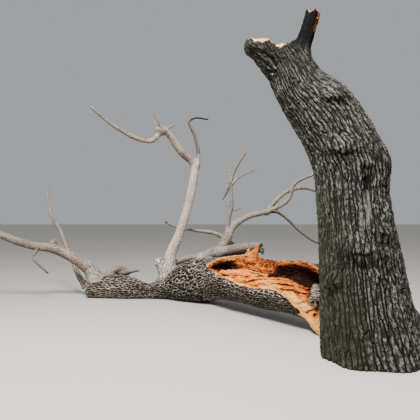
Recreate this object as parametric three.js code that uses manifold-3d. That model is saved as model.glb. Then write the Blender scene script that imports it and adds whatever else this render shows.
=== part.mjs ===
// Twin-stemmed dead tree: one stem stands and leans, its sister stem is broken at the foot and lies behind.
// Millimetres, Z up, ground at Z = 0. The origin is the middle of the flat cut under the standing trunk.
import * as THREE from 'three';
import { mergeVertices } from 'three/addons/utils/BufferGeometryUtils.js';
import Module from 'manifold-3d';

const wasm = await Module();
wasm.setup();

// Driving dimensions.
const CUT_GAP = 0.3;
const FOOT_RADIUS = 580;
const STANDING_TOP = 3990;
const BREAK_HEIGHT = 3545;
const STUMP_CENTRE = [340, 1120];
const STUMP_HEIGHT = 760;
const STUMP_RADIUS = 500;
const WOUND_RADIUS = 400;
const CAVITY_RADIUS = 175;
const STRIP_WIDTH = 190;
const STRIP_THICKNESS = 80;

// Finishes.
const FINISHES = {
  trunkBark: { color: 0x5c5650, roughness: 0.95, metalness: 0 },
  fallenBark: { color: 0x84786b, roughness: 0.95, metalness: 0 },
  boughBark: { color: 0xa09884, roughness: 0.9, metalness: 0 },
  wetBark: { color: 0x2a2a1e, roughness: 0.9, metalness: 0 },
  redBark: { color: 0x7c5a46, roughness: 0.9, metalness: 0 },
  tornWood: { color: 0xd29a68, roughness: 0.85, metalness: 0 },
};

// A limb walks from a point through legs of [length, heading, climb]: degrees, heading 0 along +X, 90 along +Y.
// Its radii are spread evenly along it, or one per leg end where there are as many as leg ends.
const TRUNK = {
  from: [0, 0, 0],
  legs: [
    [450, 180, 79], [575, 180, 83], [450, 180, 83], [360, 180, 83], [400, 180, 85],
    [320, 180, 68], [365, 180, 58], [325, 180, 49], [335, 180, 57], [215, 180, 58], [145, 180, 64],
  ],
  radii: [FOOT_RADIUS, 525, 470, 430, 402, 418, 400, 385, 320, 268, 262, 255],
  sides: 24,
  rows: 22,
  flutes: 6,
};

const FALLEN_BUTT = {
  from: [-200, 1420, 515],
  legs: [[310, 135, 3], [420, 125, 2], [590, 120, -3], [650, 125, 2], [660, 120, -5], [540, 135, -8]],
  radii: [390, 400, 392, 395, 400, 378, 385],
  sides: 20,
  rows: 14,
};

const FALLEN_TRUNK = {
  from: [-1960, 3890, 420],
  legs: [[370, 145, -10], [410, 152, -14], [460, 168, -11], [470, 178, 4], [460, 172, 2], [310, 175, -6]],
  radii: [388, 378, 250, 165, 196, 224, 180],
  sides: 16,
  rows: 18,
};

const LIMBS = {
  saddle_log: { from: [-1850, 4150, 870], legs: [[230, 350, 9], [550, 330, 11], [230, 330, 3]], radii: [120, 105, 92] },
  upright_bough: {
    from: [-2710, 4380, 290],
    legs: [[290, 55, 85], [280, 20, 78], [370, 20, 66], [480, 20, 71], [550, 30, 75], [480, 60, 75]],
    radii: [185, 160, 98, 86, 80, 80, 70],
    sides: 10,
  },
  left_arm: {
    from: [-2170, 4700, 2570],
    legs: [[170, 190, 48], [210, 210, 35], [210, 200, 50], [200, 205, 56], [150, 205, 39], [120, 205, 7]],
    radii: [76, 71, 66],
  },
  left_arm_end: {
    from: [-2840, 4450, 3220],
    legs: [[290, 225, -42], [170, 195, 0], [190, 195, 16], [470, 200, 28], [480, 205, 37]],
    radii: [52, 43, 35, 28, 23],
  },
  right_arm: {
    from: [-2140, 4700, 2590],
    legs: [[240, 45, 83], [370, 130, 73], [340, 140, 64], [120, 10, 37], [300, 15, -3]],
    radii: [44, 33, 28, 26, 18],
  },
  left_bough: {
    from: [-4010, 4500, 280],
    legs: [
      [330, 185, 51], [290, 190, 39], [350, 190, 29], [240, 205, 21], [270, 200, 8],
      [320, 200, 17], [350, 200, 23], [390, 195, 16],
    ],
    radii: [152, 124, 106, 92, 84, 76, 72, 67, 58],
    sides: 10,
  },
  hanging_twig: { from: [-5140, 4200, 980], legs: [[210, 240, -56], [210, 340, -44], [220, 345, -38]], radii: [28, 18] },
  rear_left_limb: {
    from: [-4370, 4800, 100],
    legs: [[370, 150, 56], [770, 155, 62], [260, 140, 57], [350, 165, 56], [320, 130, 65], [380, 125, 72]],
    radii: [56, 45, 34, 27, 20],
  },
  hooked_bough: { from: [-3900, 4550, 310], legs: [[210, 30, 61], [150, 20, 22], [190, 15, -22]], radii: [100, 84, 66] },
  hooked_twig: { from: [-3550, 4700, 480], legs: [[150, 340, 6], [140, 340, 9]], radii: [36, 18] },
  arc_bough: {
    from: [-1720, 4150, 850],
    legs: [[350, 25, 62], [260, 35, 57], [240, 20, 35], [210, 15, 23], [390, 20, 11]],
    radii: [108, 90, 67, 57, 52, 50],
    sides: 10,
  },
  arc_upper: {
    from: [-780, 4550, 1645],
    legs: [[200, 25, 51], [340, 20, 42], [190, 20, 23], [310, 20, 7], [310, 20, -15], [290, 10, -24]],
    radii: [48, 44, 36, 28, 18],
  },
  arc_lower: {
    from: [-800, 4550, 1650],
    legs: [[360, 350, 26], [210, 355, 44], [210, 330, 73], [150, 335, 44], [370, 340, 22], [300, 340, 19]],
    radii: [46, 41, 34, 28, 16],
  },
  droop_branch: { from: [-690, 4530, 1690], legs: [[170, 350, -17], [720, 338, -40], [410, 340, -26]], radii: [33, 25, 15] },
  low_limb: { from: [-1750, 4220, 940], legs: [[220, 155, -28], [510, 150, -11], [280, 170, -21]], radii: [62, 56, 56] },
  thin_upright: {
    from: [-1580, 4250, 1170],
    legs: [[360, 0, 81], [280, 330, 77], [410, 245, 84], [220, 330, 74], [450, 325, 53]],
    radii: [38, 33, 28, 25, 14],
  },
  thin_fork_right: { from: [-1480, 4180, 2180], legs: [[220, 5, 43], [410, 25, 23]], radii: [22, 12] },
  thin_fork_left: { from: [-1490, 4180, 2230], legs: [[310, 120, 79]], radii: [22, 10] },
  torn_wedge: { from: [-1490, 4180, 2250], legs: [[230, 160, -68], [170, 150, -60]], radii: [32, 11] },
  cross_limb: {
    from: [-1410, 4500, 970],
    legs: [[210, 140, 40], [360, 145, 22], [420, 150, 6], [430, 155, 9], [300, 155, 19]],
    radii: [46, 38, 33, 29, 24],
  },
};

/** Legs to a smooth curve through their ends. */
function walk(from, legs) {
  const here = new THREE.Vector3(...from);
  const points = [here.clone()];
  for (const [length, heading, climb] of legs) {
    const h = THREE.MathUtils.degToRad(heading);
    const c = THREE.MathUtils.degToRad(climb);
    here.x += length * Math.cos(c) * Math.cos(h);
    here.y += length * Math.cos(c) * Math.sin(h);
    here.z += length * Math.sin(c);
    points.push(here.clone());
  }
  if (points.length === 2) points.splice(1, 0, points[0].clone().lerp(points[1], 0.5));
  return new THREE.CatmullRomCurve3(points, false, 'centripetal');
}

/** Radius at a fraction of the limb, between knots spread evenly or set at the leg ends. */
function radiusAt({ legs, radii }, fraction) {
  const total = legs.reduce((sum, leg) => sum + leg[0], 0);
  let run = 0;
  const knots = radii.map((_, i) => i / (radii.length - 1));
  if (radii.length === legs.length + 1) {
    for (let i = 0; i < legs.length; i += 1) {
      run += legs[i][0] / total;
      knots[i + 1] = run;
    }
  }
  let i = 0;
  while (i < knots.length - 2 && fraction > knots[i + 1]) i += 1;
  const t = THREE.MathUtils.clamp((fraction - knots[i]) / (knots[i + 1] - knots[i]), 0, 1);
  return THREE.MathUtils.lerp(radii[i], radii[i + 1], t);
}

/** Welded geometry to a solid, with its faces turned outward. */
function solidOf(geometry) {
  const bare = geometry.clone();
  bare.deleteAttribute('normal');
  bare.deleteAttribute('uv');
  const welded = mergeVertices(bare, 1e-3);
  const index = welded.index.array;
  const kept = [];
  for (let k = 0; k < index.length; k += 3) {
    const [a, b, c] = [index[k], index[k + 1], index[k + 2]];
    if (a !== b && b !== c && c !== a) kept.push(a, b, c);
  }
  const triVerts = Uint32Array.from(kept);
  const vertProperties = Float32Array.from(welded.attributes.position.array);
  const corner = (k) => new THREE.Vector3().fromArray(vertProperties, 3 * triVerts[k]);
  let volume = 0;
  for (let k = 0; k < triVerts.length; k += 3) {
    volume += corner(k).dot(corner(k + 1).cross(corner(k + 2)));
  }
  if (volume < 0) {
    for (let k = 0; k < triVerts.length; k += 3) {
      [triVerts[k + 1], triVerts[k + 2]] = [triVerts[k + 2], triVerts[k + 1]];
    }
  }
  return new wasm.Manifold(new wasm.Mesh({ numProp: 3, vertProperties, triVerts }));
}

/** A turned profile bent along the limb's curve; grow adds to it on every side. */
function limbSolid(limb, grow = 0) {
  const curve = walk(limb.from, limb.legs);
  const length = curve.getLength();
  const sides = limb.sides ?? 8;
  const rows = limb.rows ?? Math.max(4, Math.round(length / 165));
  const profile = [new THREE.Vector2(0, 0)];
  for (let row = 0; row <= rows; row += 1) {
    profile.push(new THREE.Vector2(radiusAt(limb, row / rows) + grow * 1.2, row));
  }
  profile.push(new THREE.Vector2(0, rows));
  const geometry = new THREE.LatheGeometry(profile, sides);
  const frames = curve.computeFrenetFrames(rows, false);
  const at = geometry.attributes.position;
  for (let i = 0; i < at.count; i += 1) {
    const row = Math.round(at.getY(i));
    const angle = Math.atan2(at.getZ(i), at.getX(i));
    const flute = limb.flutes ? 1 + 0.05 * Math.exp(-row / 3) * Math.cos(limb.flutes * angle + 1) : 1;
    const [wide, thick] = limb.flatten ?? [1, 1];
    const centre = curve.getPointAt(row / rows);
    if (row === 0) centre.addScaledVector(frames.tangents[0], -grow);
    if (row === rows) centre.addScaledVector(frames.tangents[rows], grow);
    centre.addScaledVector(frames.normals[row], at.getX(i) * flute * wide);
    centre.addScaledVector(frames.binormals[row], at.getZ(i) * flute * thick);
    at.setXYZ(i, centre.x, centre.y, centre.z);
  }
  // The last column closes on the first.
  for (let i = 0; i < profile.length; i += 1) {
    at.setXYZ(i + sides * profile.length, at.getX(i), at.getY(i), at.getZ(i));
  }
  return solidOf(geometry);
}

/** A lump: a ball scaled to three half-sizes at a place. */
function lump(place, halfSizes, detail = 1) {
  const ball = new THREE.IcosahedronGeometry(1, detail);
  ball.scale(...halfSizes);
  ball.translate(...place);
  return solidOf(ball);
}

/** A block between two corners. */
function block(low, high) {
  const box = new THREE.BoxGeometry(high[0] - low[0], high[1] - low[1], high[2] - low[2]);
  box.translate((low[0] + high[0]) / 2, (low[1] + high[1]) / 2, (low[2] + high[2]) / 2);
  return solidOf(box);
}

/** Everything above a ragged line in X and Z, right through in Y. */
function aboveLine(line, top, depth) {
  const shape = new THREE.Shape();
  shape.moveTo(line[0][0], top);
  for (const [x, z] of line) shape.lineTo(x, z);
  shape.lineTo(line[line.length - 1][0], top);
  shape.closePath();
  const slab = new THREE.ExtrudeGeometry(shape, { depth, bevelEnabled: false });
  slab.translate(0, 0, -depth / 2);
  slab.rotateX(Math.PI / 2);
  return solidOf(slab);
}

/** The largest separate piece of a solid. */
function largest(solid) {
  const pieces = solid.decompose();
  pieces.sort((a, b) => b.volume() - a.volume());
  return pieces[0];
}

const group = new THREE.Group();
group.name = 'dead_tree';

/** Puts a solid into the group as one named mesh. */
function keep(name, solid, finish) {
  const mesh = solid.getMesh();
  const geometry = new THREE.BufferGeometry();
  geometry.setAttribute('position', new THREE.Float32BufferAttribute(mesh.vertProperties, 3));
  geometry.setIndex(new THREE.Uint32BufferAttribute(mesh.triVerts, 1));
  const node = new THREE.Mesh(mergeVertices(geometry, 1e-3), new THREE.MeshStandardMaterial(FINISHES[finish]));
  node.name = name;
  group.add(node);
}

const below = block([-9000, -9000, -3000], [9000, 9000, 0]);

// Standing stem: the trunk from its flat cut to its break, with burls and the scar of a lost bough.
const breakLine = [
  [-1800, BREAK_HEIGHT + 95], [-1420, BREAK_HEIGHT + 110], [-1320, BREAK_HEIGHT + 80], [-1235, BREAK_HEIGHT + 75],
  [-1145, BREAK_HEIGHT - 30], [-1050, BREAK_HEIGHT - 15], [-960, BREAK_HEIGHT], [-500, BREAK_HEIGHT + 30],
];
const topBreak = aboveLine(breakLine, 4800, 3000);
const BURLS = [
  { place: [-450, -330, 2375], size: [170, 90, 95] },
  { place: [-560, -250, 2960], size: [160, 100, 95] },
  { place: [40, -60, 2210], size: [90, 210, 170] },
  { place: [-235, -415, 1235], size: [180, 70, 55] },
  { place: [-40, -400, 1440], size: [75, 45, 50] },
  { place: [-560, -300, 930], size: [70, 75, 60] },
];
const burls = (grow) => BURLS.map(({ place, size }) => lump(place, size.map((half) => half + grow)));
const trunkSolid = (grow) => burls(grow).reduce((sum, burl) => sum.add(burl), limbSolid(TRUNK, grow));
const trunk = largest(trunkSolid(0).subtract(topBreak).subtract(below));
keep('standing_trunk', trunk, 'trunkBark');
const trunkCutter = trunkSolid(CUT_GAP);

const LEFT_STUB = { from: [-1120, 0, 3370], legs: [[200, 180, 32], [130, 180, 24]], radii: [170, 145, 120], sides: 12 };
const leftStub = limbSolid(LEFT_STUB).add(lump([-1400, 0, 3560], [95, 115, 115]));
keep('standing_left_stub', largest(leftStub.subtract(topBreak).subtract(trunkCutter)), 'trunkBark');
const TOP_STUB = {
  from: [-875, 0, 3400],
  legs: [[200, 0, 78], [190, 0, 76], [STANDING_TOP - 3790, 0, 78]],
  radii: [120, 100, 90, 84],
  sides: 12,
};
const topOfTrunk = trunkCutter.subtract(aboveLine(breakLine.map(([x, z]) => [x, z + CUT_GAP]), 4800, 3000));
keep('standing_top_stub', largest(limbSolid(TOP_STUB).subtract(topOfTrunk)), 'wetBark');

// The low split stump of the sister stem, grown against the standing trunk on the same root crown.
const STUMP = {
  from: [STUMP_CENTRE[0] + 40, STUMP_CENTRE[1], -20],
  legs: [[240, 170, 85], [280, 165, 82], [STUMP_HEIGHT - 500, 160, 80]],
  radii: [STUMP_RADIUS + 120, STUMP_RADIUS, STUMP_RADIUS - 40, STUMP_RADIUS - 70],
  sides: 16,
  rows: 6,
  flutes: 5,
};
const splits = [[-60, 0, 560], [330, 150, 470], [560, -80, 610]];
const stumpHollow = splits.map(([x, y, z], i) => {
  return lump([x, STUMP_CENTRE[1] + y, z + 260], [230, 260 - 30 * i, 300]);
}).reduce((sum, piece) => sum.add(piece));
const stump = largest(limbSolid(STUMP).subtract(stumpHollow).subtract(below).subtract(trunkCutter));
keep('split_stump', stump, 'fallenBark');
const stumpCutter = limbSolid(STUMP, CUT_GAP);

// The fallen stem's butt: a shell laid open by the wound along its near upper side, hollow from its broken end.
const WOUND = {
  from: [-350, 1060, 700],
  legs: [[470, 122, 2], [590, 120, -3], [650, 125, 2], [560, 120, -6], [330, 135, -6]],
  radii: [WOUND_RADIUS, WOUND_RADIUS, WOUND_RADIUS - 20, WOUND_RADIUS - 45, WOUND_RADIUS - 140, 110],
  sides: 14,
  rows: 10,
};
const CAVITY = {
  from: [-120, 1370, 520],
  legs: [[390, 133, 3], [420, 125, 2], [590, 120, -3]],
  radii: [CAVITY_RADIUS + 60, CAVITY_RADIUS + 30, CAVITY_RADIUS, CAVITY_RADIUS - 60],
  sides: 12,
};
const buttCutter = limbSolid(FALLEN_BUTT, CUT_GAP);

// The pale strip of sapwood that still ties the butt's near lower edge to the root crown.
const STRIP = {
  from: [-840, 2100, 530],
  legs: [[450, 300, -22], [360, 295, -24], [340, 300, -36], [330, 330, 0]],
  radii: [STRIP_WIDTH / 2 - 15, STRIP_WIDTH / 2, STRIP_WIDTH / 2 + 10, STRIP_WIDTH / 2 + 20, STRIP_WIDTH / 2],
  flatten: [STRIP_THICKNESS / STRIP_WIDTH, 1],
  sides: 10,
};
const strip = limbSolid(STRIP).subtract(stumpCutter).subtract(trunkCutter).subtract(below);
keep('hinge_strip', largest(strip), 'tornWood');
const buttShell = limbSolid(FALLEN_BUTT).subtract(limbSolid(WOUND)).subtract(limbSolid(CAVITY));
const butt = buttShell.subtract(limbSolid(STRIP, CUT_GAP)).subtract(stumpCutter).subtract(trunkCutter);
keep('fallen_butt', largest(butt.subtract(below)), 'fallenBark');

// The fallen stem beyond the wound, to its broken forked end.
const fallen = limbSolid(FALLEN_TRUNK).subtract(buttCutter).subtract(below);
keep('fallen_trunk', largest(fallen), 'fallenBark');
const fallenCutter = limbSolid(FALLEN_TRUNK, CUT_GAP);

// Boughs, each cut clear of what it grows from or leans on.
const solids = {};
for (const [name, limb] of Object.entries(LIMBS)) {
  solids[name] = { plain: limbSolid(limb), grown: limbSolid(limb, CUT_GAP) };
}
const HUB = { place: [-2840, 4450, 3220], size: [98, 88, 82] };
const hubGrown = lump(HUB.place, HUB.size.map((half) => half + CUT_GAP));
const HUB_SPURS = [
  { from: [-2840, 4450, 3230], legs: [[120, 180, 47], [110, 180, 74]], radii: [34, 16] },
  { from: [-2770, 4400, 3240], legs: [[140, 215, 48], [250, 220, 51]], radii: [30, 10] },
  { from: [-2780, 4450, 3250], legs: [[130, 20, 25], [110, 20, 32]], radii: [30, 14] },
];

/** A limb less its neighbours, which are grown solids or the names of other limbs. */
function cutLimb(name, neighbours, finish) {
  const tools = neighbours.map((tool) => (typeof tool === 'string' ? solids[tool].grown : tool));
  const cut = tools.reduce((rest, tool) => rest.subtract(tool), solids[name].plain);
  keep(name, largest(cut.subtract(below)), finish);
}

const hub = HUB_SPURS.reduce((sum, spur) => sum.add(limbSolid(spur)), lump(HUB.place, HUB.size));
keep('arm_hub', largest(hub), 'boughBark');
const hubCutter = HUB_SPURS.reduce((sum, spur) => sum.add(limbSolid(spur, CUT_GAP)), hubGrown);

const stem = [fallenCutter, buttCutter];
cutLimb('upright_bough', stem, 'boughBark');
cutLimb('left_arm', ['upright_bough', hubCutter], 'boughBark');
cutLimb('left_arm_end', ['left_arm', hubCutter], 'boughBark');
cutLimb('right_arm', ['upright_bough', 'left_arm'], 'redBark');
cutLimb('left_bough', stem, 'boughBark');
cutLimb('hanging_twig', ['left_bough'], 'redBark');
cutLimb('rear_left_limb', [...stem, 'left_bough'], 'boughBark');
cutLimb('hooked_bough', [...stem, 'left_bough'], 'fallenBark');
cutLimb('hooked_twig', ['hooked_bough'], 'boughBark');
cutLimb('saddle_log', stem, 'fallenBark');
cutLimb('arc_bough', [...stem, 'saddle_log'], 'boughBark');
cutLimb('low_limb', [...stem, 'saddle_log', 'arc_bough', 'upright_bough'], 'boughBark');
cutLimb('arc_upper', ['arc_bough'], 'boughBark');
cutLimb('arc_lower', ['arc_bough', 'arc_upper'], 'boughBark');
cutLimb('droop_branch', ['arc_bough', 'arc_upper', 'arc_lower'], 'boughBark');
cutLimb('thin_upright', ['arc_bough', 'saddle_log'], 'boughBark');
cutLimb('thin_fork_right', ['thin_upright'], 'boughBark');
cutLimb('thin_fork_left', ['thin_upright', 'thin_fork_right'], 'boughBark');
cutLimb('torn_wedge', ['thin_upright', 'thin_fork_left', 'thin_fork_right'], 'boughBark');
cutLimb('cross_limb', [...stem, 'saddle_log', 'arc_bough', 'upright_bough'], 'boughBark');

export default group;
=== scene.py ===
"""Dead tree with two stems on one root crown: one leans and has lost its top, one lies fallen and hollow.

Every size is in metres in the object's own frame: the origin is the middle of the flat cut under the
standing trunk at ground level, +Z is up, +X to the picture's right and +Y away from the camera.
"""
import logging
import math
from dataclasses import dataclass, field, fields
from enum import Enum
from typing import Callable, Iterable, Sequence

import bpy
import numpy as np
import openvdb
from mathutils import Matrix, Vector

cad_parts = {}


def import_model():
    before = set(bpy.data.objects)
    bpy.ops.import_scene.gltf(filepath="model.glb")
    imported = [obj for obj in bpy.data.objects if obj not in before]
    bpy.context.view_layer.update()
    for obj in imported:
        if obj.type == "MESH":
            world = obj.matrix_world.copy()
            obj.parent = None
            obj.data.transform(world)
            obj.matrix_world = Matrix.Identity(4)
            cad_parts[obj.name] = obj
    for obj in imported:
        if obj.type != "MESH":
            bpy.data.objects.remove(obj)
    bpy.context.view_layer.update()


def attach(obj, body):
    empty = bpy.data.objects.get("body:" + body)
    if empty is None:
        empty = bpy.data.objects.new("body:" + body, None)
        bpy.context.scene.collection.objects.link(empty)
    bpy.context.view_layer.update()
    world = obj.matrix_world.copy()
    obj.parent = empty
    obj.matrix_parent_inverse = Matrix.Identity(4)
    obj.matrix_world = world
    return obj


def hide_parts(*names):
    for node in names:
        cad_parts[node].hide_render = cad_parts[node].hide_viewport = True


log = logging.getLogger("dead_tree")
MM = 0.001

# Distance that a block holds where no solid is near, and one beyond the whole scene
FAR = 1.0
FAR_AWAY = 100.0

SHARPEST_FILLET = 1e-4
POINTS_PER_LEG = 16
LEAST_ISLAND = 0.04
CREVICE_REACH = 0.06
SEAM_REACH = 0.035

# The side of a limb that the camera sees, and how far the patterns of rear and next limb are moved
NEAR_SIDE = np.array([0.0, -1.0, 0.35])
REAR_SHIFT = 50.0
LIMB_SHIFT = 3.7

# Painted shade: how much darker the undersides of boughs, twigs and the fallen stem's bough collars are
# painted
UNDERSIDE_SHADE = 0.55

# Short names for types
Array = np.ndarray
Thing = bpy.types.Object
Socket = bpy.types.NodeSocket
Value = Socket | float | tuple | str
Pair = tuple[float, float]
Triple = tuple[float, float, float]
Colour = tuple[int, int, int]
Lump = tuple[Triple, Triple]
Ends = tuple[bool, bool]

# Both ends of a limb round, not cut square
ROUND: Ends = (False, False)


class Surface(Enum):
    """Which bark or wood a piece wears."""

    TRUNK = "trunk_bark"
    FALLEN = "fallen_bark"
    BOUGH = "bough_bark"
    TWIG = "twig_bark"
    WOOD = "broken_wood"


# Shapes


@dataclass(frozen=True)
class Limb:
    """One tapering limb: it walks from a point through legs of length, heading and climb.

    start and the leg lengths are millimetres; heading 0 runs along +X and 90 along +Y, in degrees.
    radii are spread evenly, or stand at the leg ends where there are as many as leg ends.
    """

    start: Triple
    legs: tuple[Triple, ...]
    radii: tuple[float, ...]
    blend: float = 0.03
    step: float = 0.05

    def axis(self, step: float | None = None) -> "Axis":
        """The limb's smooth centre line with its radii, sampled every step metres."""
        here = np.array(self.start, float)
        knots = [here]
        for length, heading, climb in self.legs:
            h, c = math.radians(heading), math.radians(climb)
            way = np.array([math.cos(c) * math.cos(h), math.cos(c) * math.sin(h), math.sin(c)])
            here = here + length * way
            knots.append(here)
        if len(knots) == 2:
            knots.insert(1, (knots[0] + knots[1]) / 2)
        fine = smooth_path(np.array(knots) * MM, POINTS_PER_LEG)
        run = path_run(fine)
        count = max(4, int(round(run[-1] / (step or self.step))))
        at = np.linspace(0, run[-1], count + 1)
        ends = np.linspace(0, 1, len(self.radii))
        if len(self.radii) == len(self.legs) + 1:
            ends = np.concatenate([[0], np.cumsum([leg[0] for leg in self.legs])])
            ends = ends / ends[-1]
        radii = np.interp(at / at[-1], ends, np.array(self.radii) * MM)
        return Axis(along(at, run, fine), radii, at)


def along(at: Array | float, run: Array, values: Array) -> Array:
    """Rows of values, which stand at run, read at other places along it."""
    return np.stack([np.interp(at, run, column) for column in values.T], axis=-1)


def smooth_path(knots: Array, per_span: int) -> Array:
    """Centripetal Catmull-Rom curve through knots.

    Args:
        knots: points to pass through, one per row.
        per_span: points made between two knots.

    Returns:
        The curve's points, one per row.
    """
    padded = np.vstack([2 * knots[0] - knots[1], knots, 2 * knots[-1] - knots[-2]])
    out = []
    t = (np.arange(per_span) / per_span)[:, None]
    for i in range(1, len(padded) - 2):
        p0, p1, p2, p3 = padded[i - 1 : i + 3]
        d0, d1, d2 = (max(np.linalg.norm(b - a) ** 0.5, 1e-4) for a, b in ((p0, p1), (p1, p2), (p2, p3)))
        m1 = ((p1 - p0) / d0 - (p2 - p0) / (d0 + d1) + (p2 - p1) / d1) * d1
        m2 = ((p2 - p1) / d1 - (p3 - p1) / (d1 + d2) + (p3 - p2) / d2) * d1
        out.append(p1 + m1 * t + (3 * (p2 - p1) - 2 * m1 - m2) * t**2 + (2 * (p1 - p2) + m1 + m2) * t**3)
    out.append(knots[-1:])
    return np.vstack(out)


def path_run(points: Array) -> Array:
    """Length along a path at each of its points."""
    return np.concatenate([[0], np.cumsum(np.linalg.norm(np.diff(points, axis=0), axis=1))])


@dataclass
class Axis:
    """A centre line with radii, lengths along it and frames that don't twist."""

    points: Array
    radii: Array
    run: Array
    tangents: Array = field(init=False)
    sides: Array = field(init=False)
    ups: Array = field(init=False)

    def __post_init__(self) -> None:
        """Works out the frames."""
        t = np.gradient(self.points, axis=0)
        self.tangents = t / np.linalg.norm(t, axis=1, keepdims=True)
        seed = np.array([0.0, 0.0, 1.0]) if abs(self.tangents[0][2]) < 0.8 else np.array([0.0, 1.0, 0.0])
        side = np.cross(seed, self.tangents[0])
        sides = []
        for tangent in self.tangents:
            side = side - tangent * (side @ tangent)
            side = side / np.linalg.norm(side)
            sides.append(side)
        self.sides = np.array(sides)
        self.ups = np.cross(self.tangents, self.sides)

    def part(self, low: float, high: float) -> "Axis":
        """The stretch of the axis between two runs, measured from the same start."""
        inner = self.run[(self.run > low + 1e-4) & (self.run < high - 1e-4)]
        at = np.concatenate([[low], inner, [high]])
        return Axis(along(at, self.run, self.points), np.interp(at, self.run, self.radii), at)

    def at(self, run: float) -> tuple[Array, Array]:
        """Place and direction at a run."""
        way = along(run, self.run, self.tangents)
        return along(run, self.run, self.points), way / np.linalg.norm(way)

    def near(self, points: Array) -> tuple[Array, Array]:
        """Nearest place on the axis for each point.

        Args:
            points: places, one per row.

        Returns:
            The distance to the limb's skin, and the straightened coordinates (side, up, run) as rows.
        """
        skin = np.full(len(points), FAR_AWAY)
        straight = np.zeros((len(points), 3))
        for i in range(len(self.points) - 1):
            d = self.points[i + 1] - self.points[i]
            q = points - self.points[i]
            t = np.clip(q @ d / (d @ d), 0, 1)
            off = q - t[:, None] * d
            gap = np.linalg.norm(off, axis=1) - (self.radii[i] * (1 - t) + self.radii[i + 1] * t)
            hit = gap < skin
            skin[hit] = gap[hit]
            w = t[hit][:, None]
            side = self.sides[i] * (1 - w) + self.sides[i + 1] * w
            up = self.ups[i] * (1 - w) + self.ups[i + 1] * w
            o = off[hit]
            over = (q[hit] @ d) / np.linalg.norm(d) - t[hit] * np.linalg.norm(d)
            straight[hit, 0] = (o * side).sum(1)
            straight[hit, 1] = (o * up).sum(1)
            straight[hit, 2] = self.run[i] + t[hit] * (self.run[i + 1] - self.run[i]) + over
        return skin, straight


@dataclass
class BarkPlaces:
    """Where points lie on their limb, straightened.

    grain holds side, up and run. front and rear hold the bark unrolled flat, as across, run and depth, cut
    at the far and at the near side, and turn says how far rear counts. way is the limb's direction, and seam
    how close another limb is, 0 to 1.
    """

    grain: Array
    front: Array
    rear: Array
    turn: Array
    way: Array
    seam: Array

    @staticmethod
    def empty(count: int) -> "BarkPlaces":
        """Places still to be filled in."""
        vectors = [np.zeros((count, 3)) for _ in range(4)]
        return BarkPlaces(*vectors[:3], np.zeros(count), vectors[3], np.zeros(count))

    def fill(self, hit: Array, axis: Axis, straight: Array, shift: float) -> None:
        """Writes the picked points.

        Args:
            hit: which points.
            axis: their limb's centre line.
            straight: their side, up and run.
            shift: moves the pattern, so that limbs differ.
        """
        side, up, run = straight.T
        middle = len(axis.run) // 2
        facing = math.atan2(NEAR_SIDE @ axis.ups[middle], NEAR_SIDE @ axis.sides[middle])
        angle = np.mod(np.arctan2(up, side) - facing + math.pi, 2 * math.pi) - math.pi
        back = np.mod(angle, 2 * math.pi) - math.pi
        girth = axis.radii.mean()
        depth = 0.3 * (np.hypot(side, up) - np.interp(run, axis.run, axis.radii))
        self.grain[hit] = straight + shift
        self.front[hit] = np.stack([angle * girth, run, depth], 1) + shift
        self.rear[hit] = np.stack([back * girth + REAR_SHIFT, run, depth], 1) + shift
        self.turn[hit] = ease(1.9, 2.2, np.abs(angle))
        self.way[hit] = along(run, axis.run, axis.tangents)

    def store(self, skin: "Skin") -> None:
        """Puts the places on a mesh."""
        for name in ("grain", "front", "rear", "way"):
            skin.vector(name, getattr(self, name))
        skin.numbers(turn=self.turn)


def smooth_noise(points: Array, seed: int) -> Array:
    """Smooth value noise from -1 to 1.

    Args:
        points: places in cells, one per row.
        seed: which noise.

    Returns:
        One value per point.
    """
    cell = np.floor(points).astype(np.int64)
    w = points - cell
    w = w * w * (3 - 2 * w)
    total = np.zeros(len(points))
    for corner in range(8):
        pick = np.array([corner & 1, corner >> 1 & 1, corner >> 2 & 1])
        key = cell + pick
        h = key[:, 0] * 73856093 ^ key[:, 1] * 19349663 ^ key[:, 2] * 83492791 ^ seed * 2654435761
        h = (h ^ (h >> 15)) * 2246822519 & 0x7FFFFFFF
        value = ((h ^ (h >> 13)) & 0xFFFF) / 32767.5 - 1
        total += value * np.prod(np.where(pick, w, 1 - w), axis=1)
    return total


def layered_noise(points: Array, scale: Triple, seed: int, layers: int = 3) -> Array:
    """Sum of finer and weaker noises; scale is cells per metre along each axis."""
    total = np.zeros(len(points))
    for layer in range(layers):
        total += smooth_noise(points * np.array(scale) * 2**layer + 7.3 * layer, seed + layer) * 0.55**layer
    return total


def ease(low: float, high: float, x: Array) -> Array:
    """Smooth step from 0 at low to 1 at high."""
    t = np.clip((x - low) / (high - low), 0, 1)
    return t * t * (3 - 2 * t)


def soft_min(a: Array, b: Array, k: float) -> Array:
    """Smaller of two fields, rounded over the width k where they meet."""
    k = max(k, SHARPEST_FILLET)
    h = np.clip(0.5 + 0.5 * (b - a) / k, 0, 1)
    return b * (1 - h) + a * h - k * h * (1 - h)


def wander(at: Array, scale: float, seed: int) -> Array:
    """Layered noise along one line, for edges that wander."""
    return layered_noise(np.stack([at, 0 * at, 0 * at], 1), (scale, 1, 1), seed)


def from_middle(points: Array, lump: Lump) -> Array:
    """Distance of points from a lump's middle, in its half-sizes."""
    place, size = lump
    return np.linalg.norm((points - np.array(place)) / np.array(size), axis=1)


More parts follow.
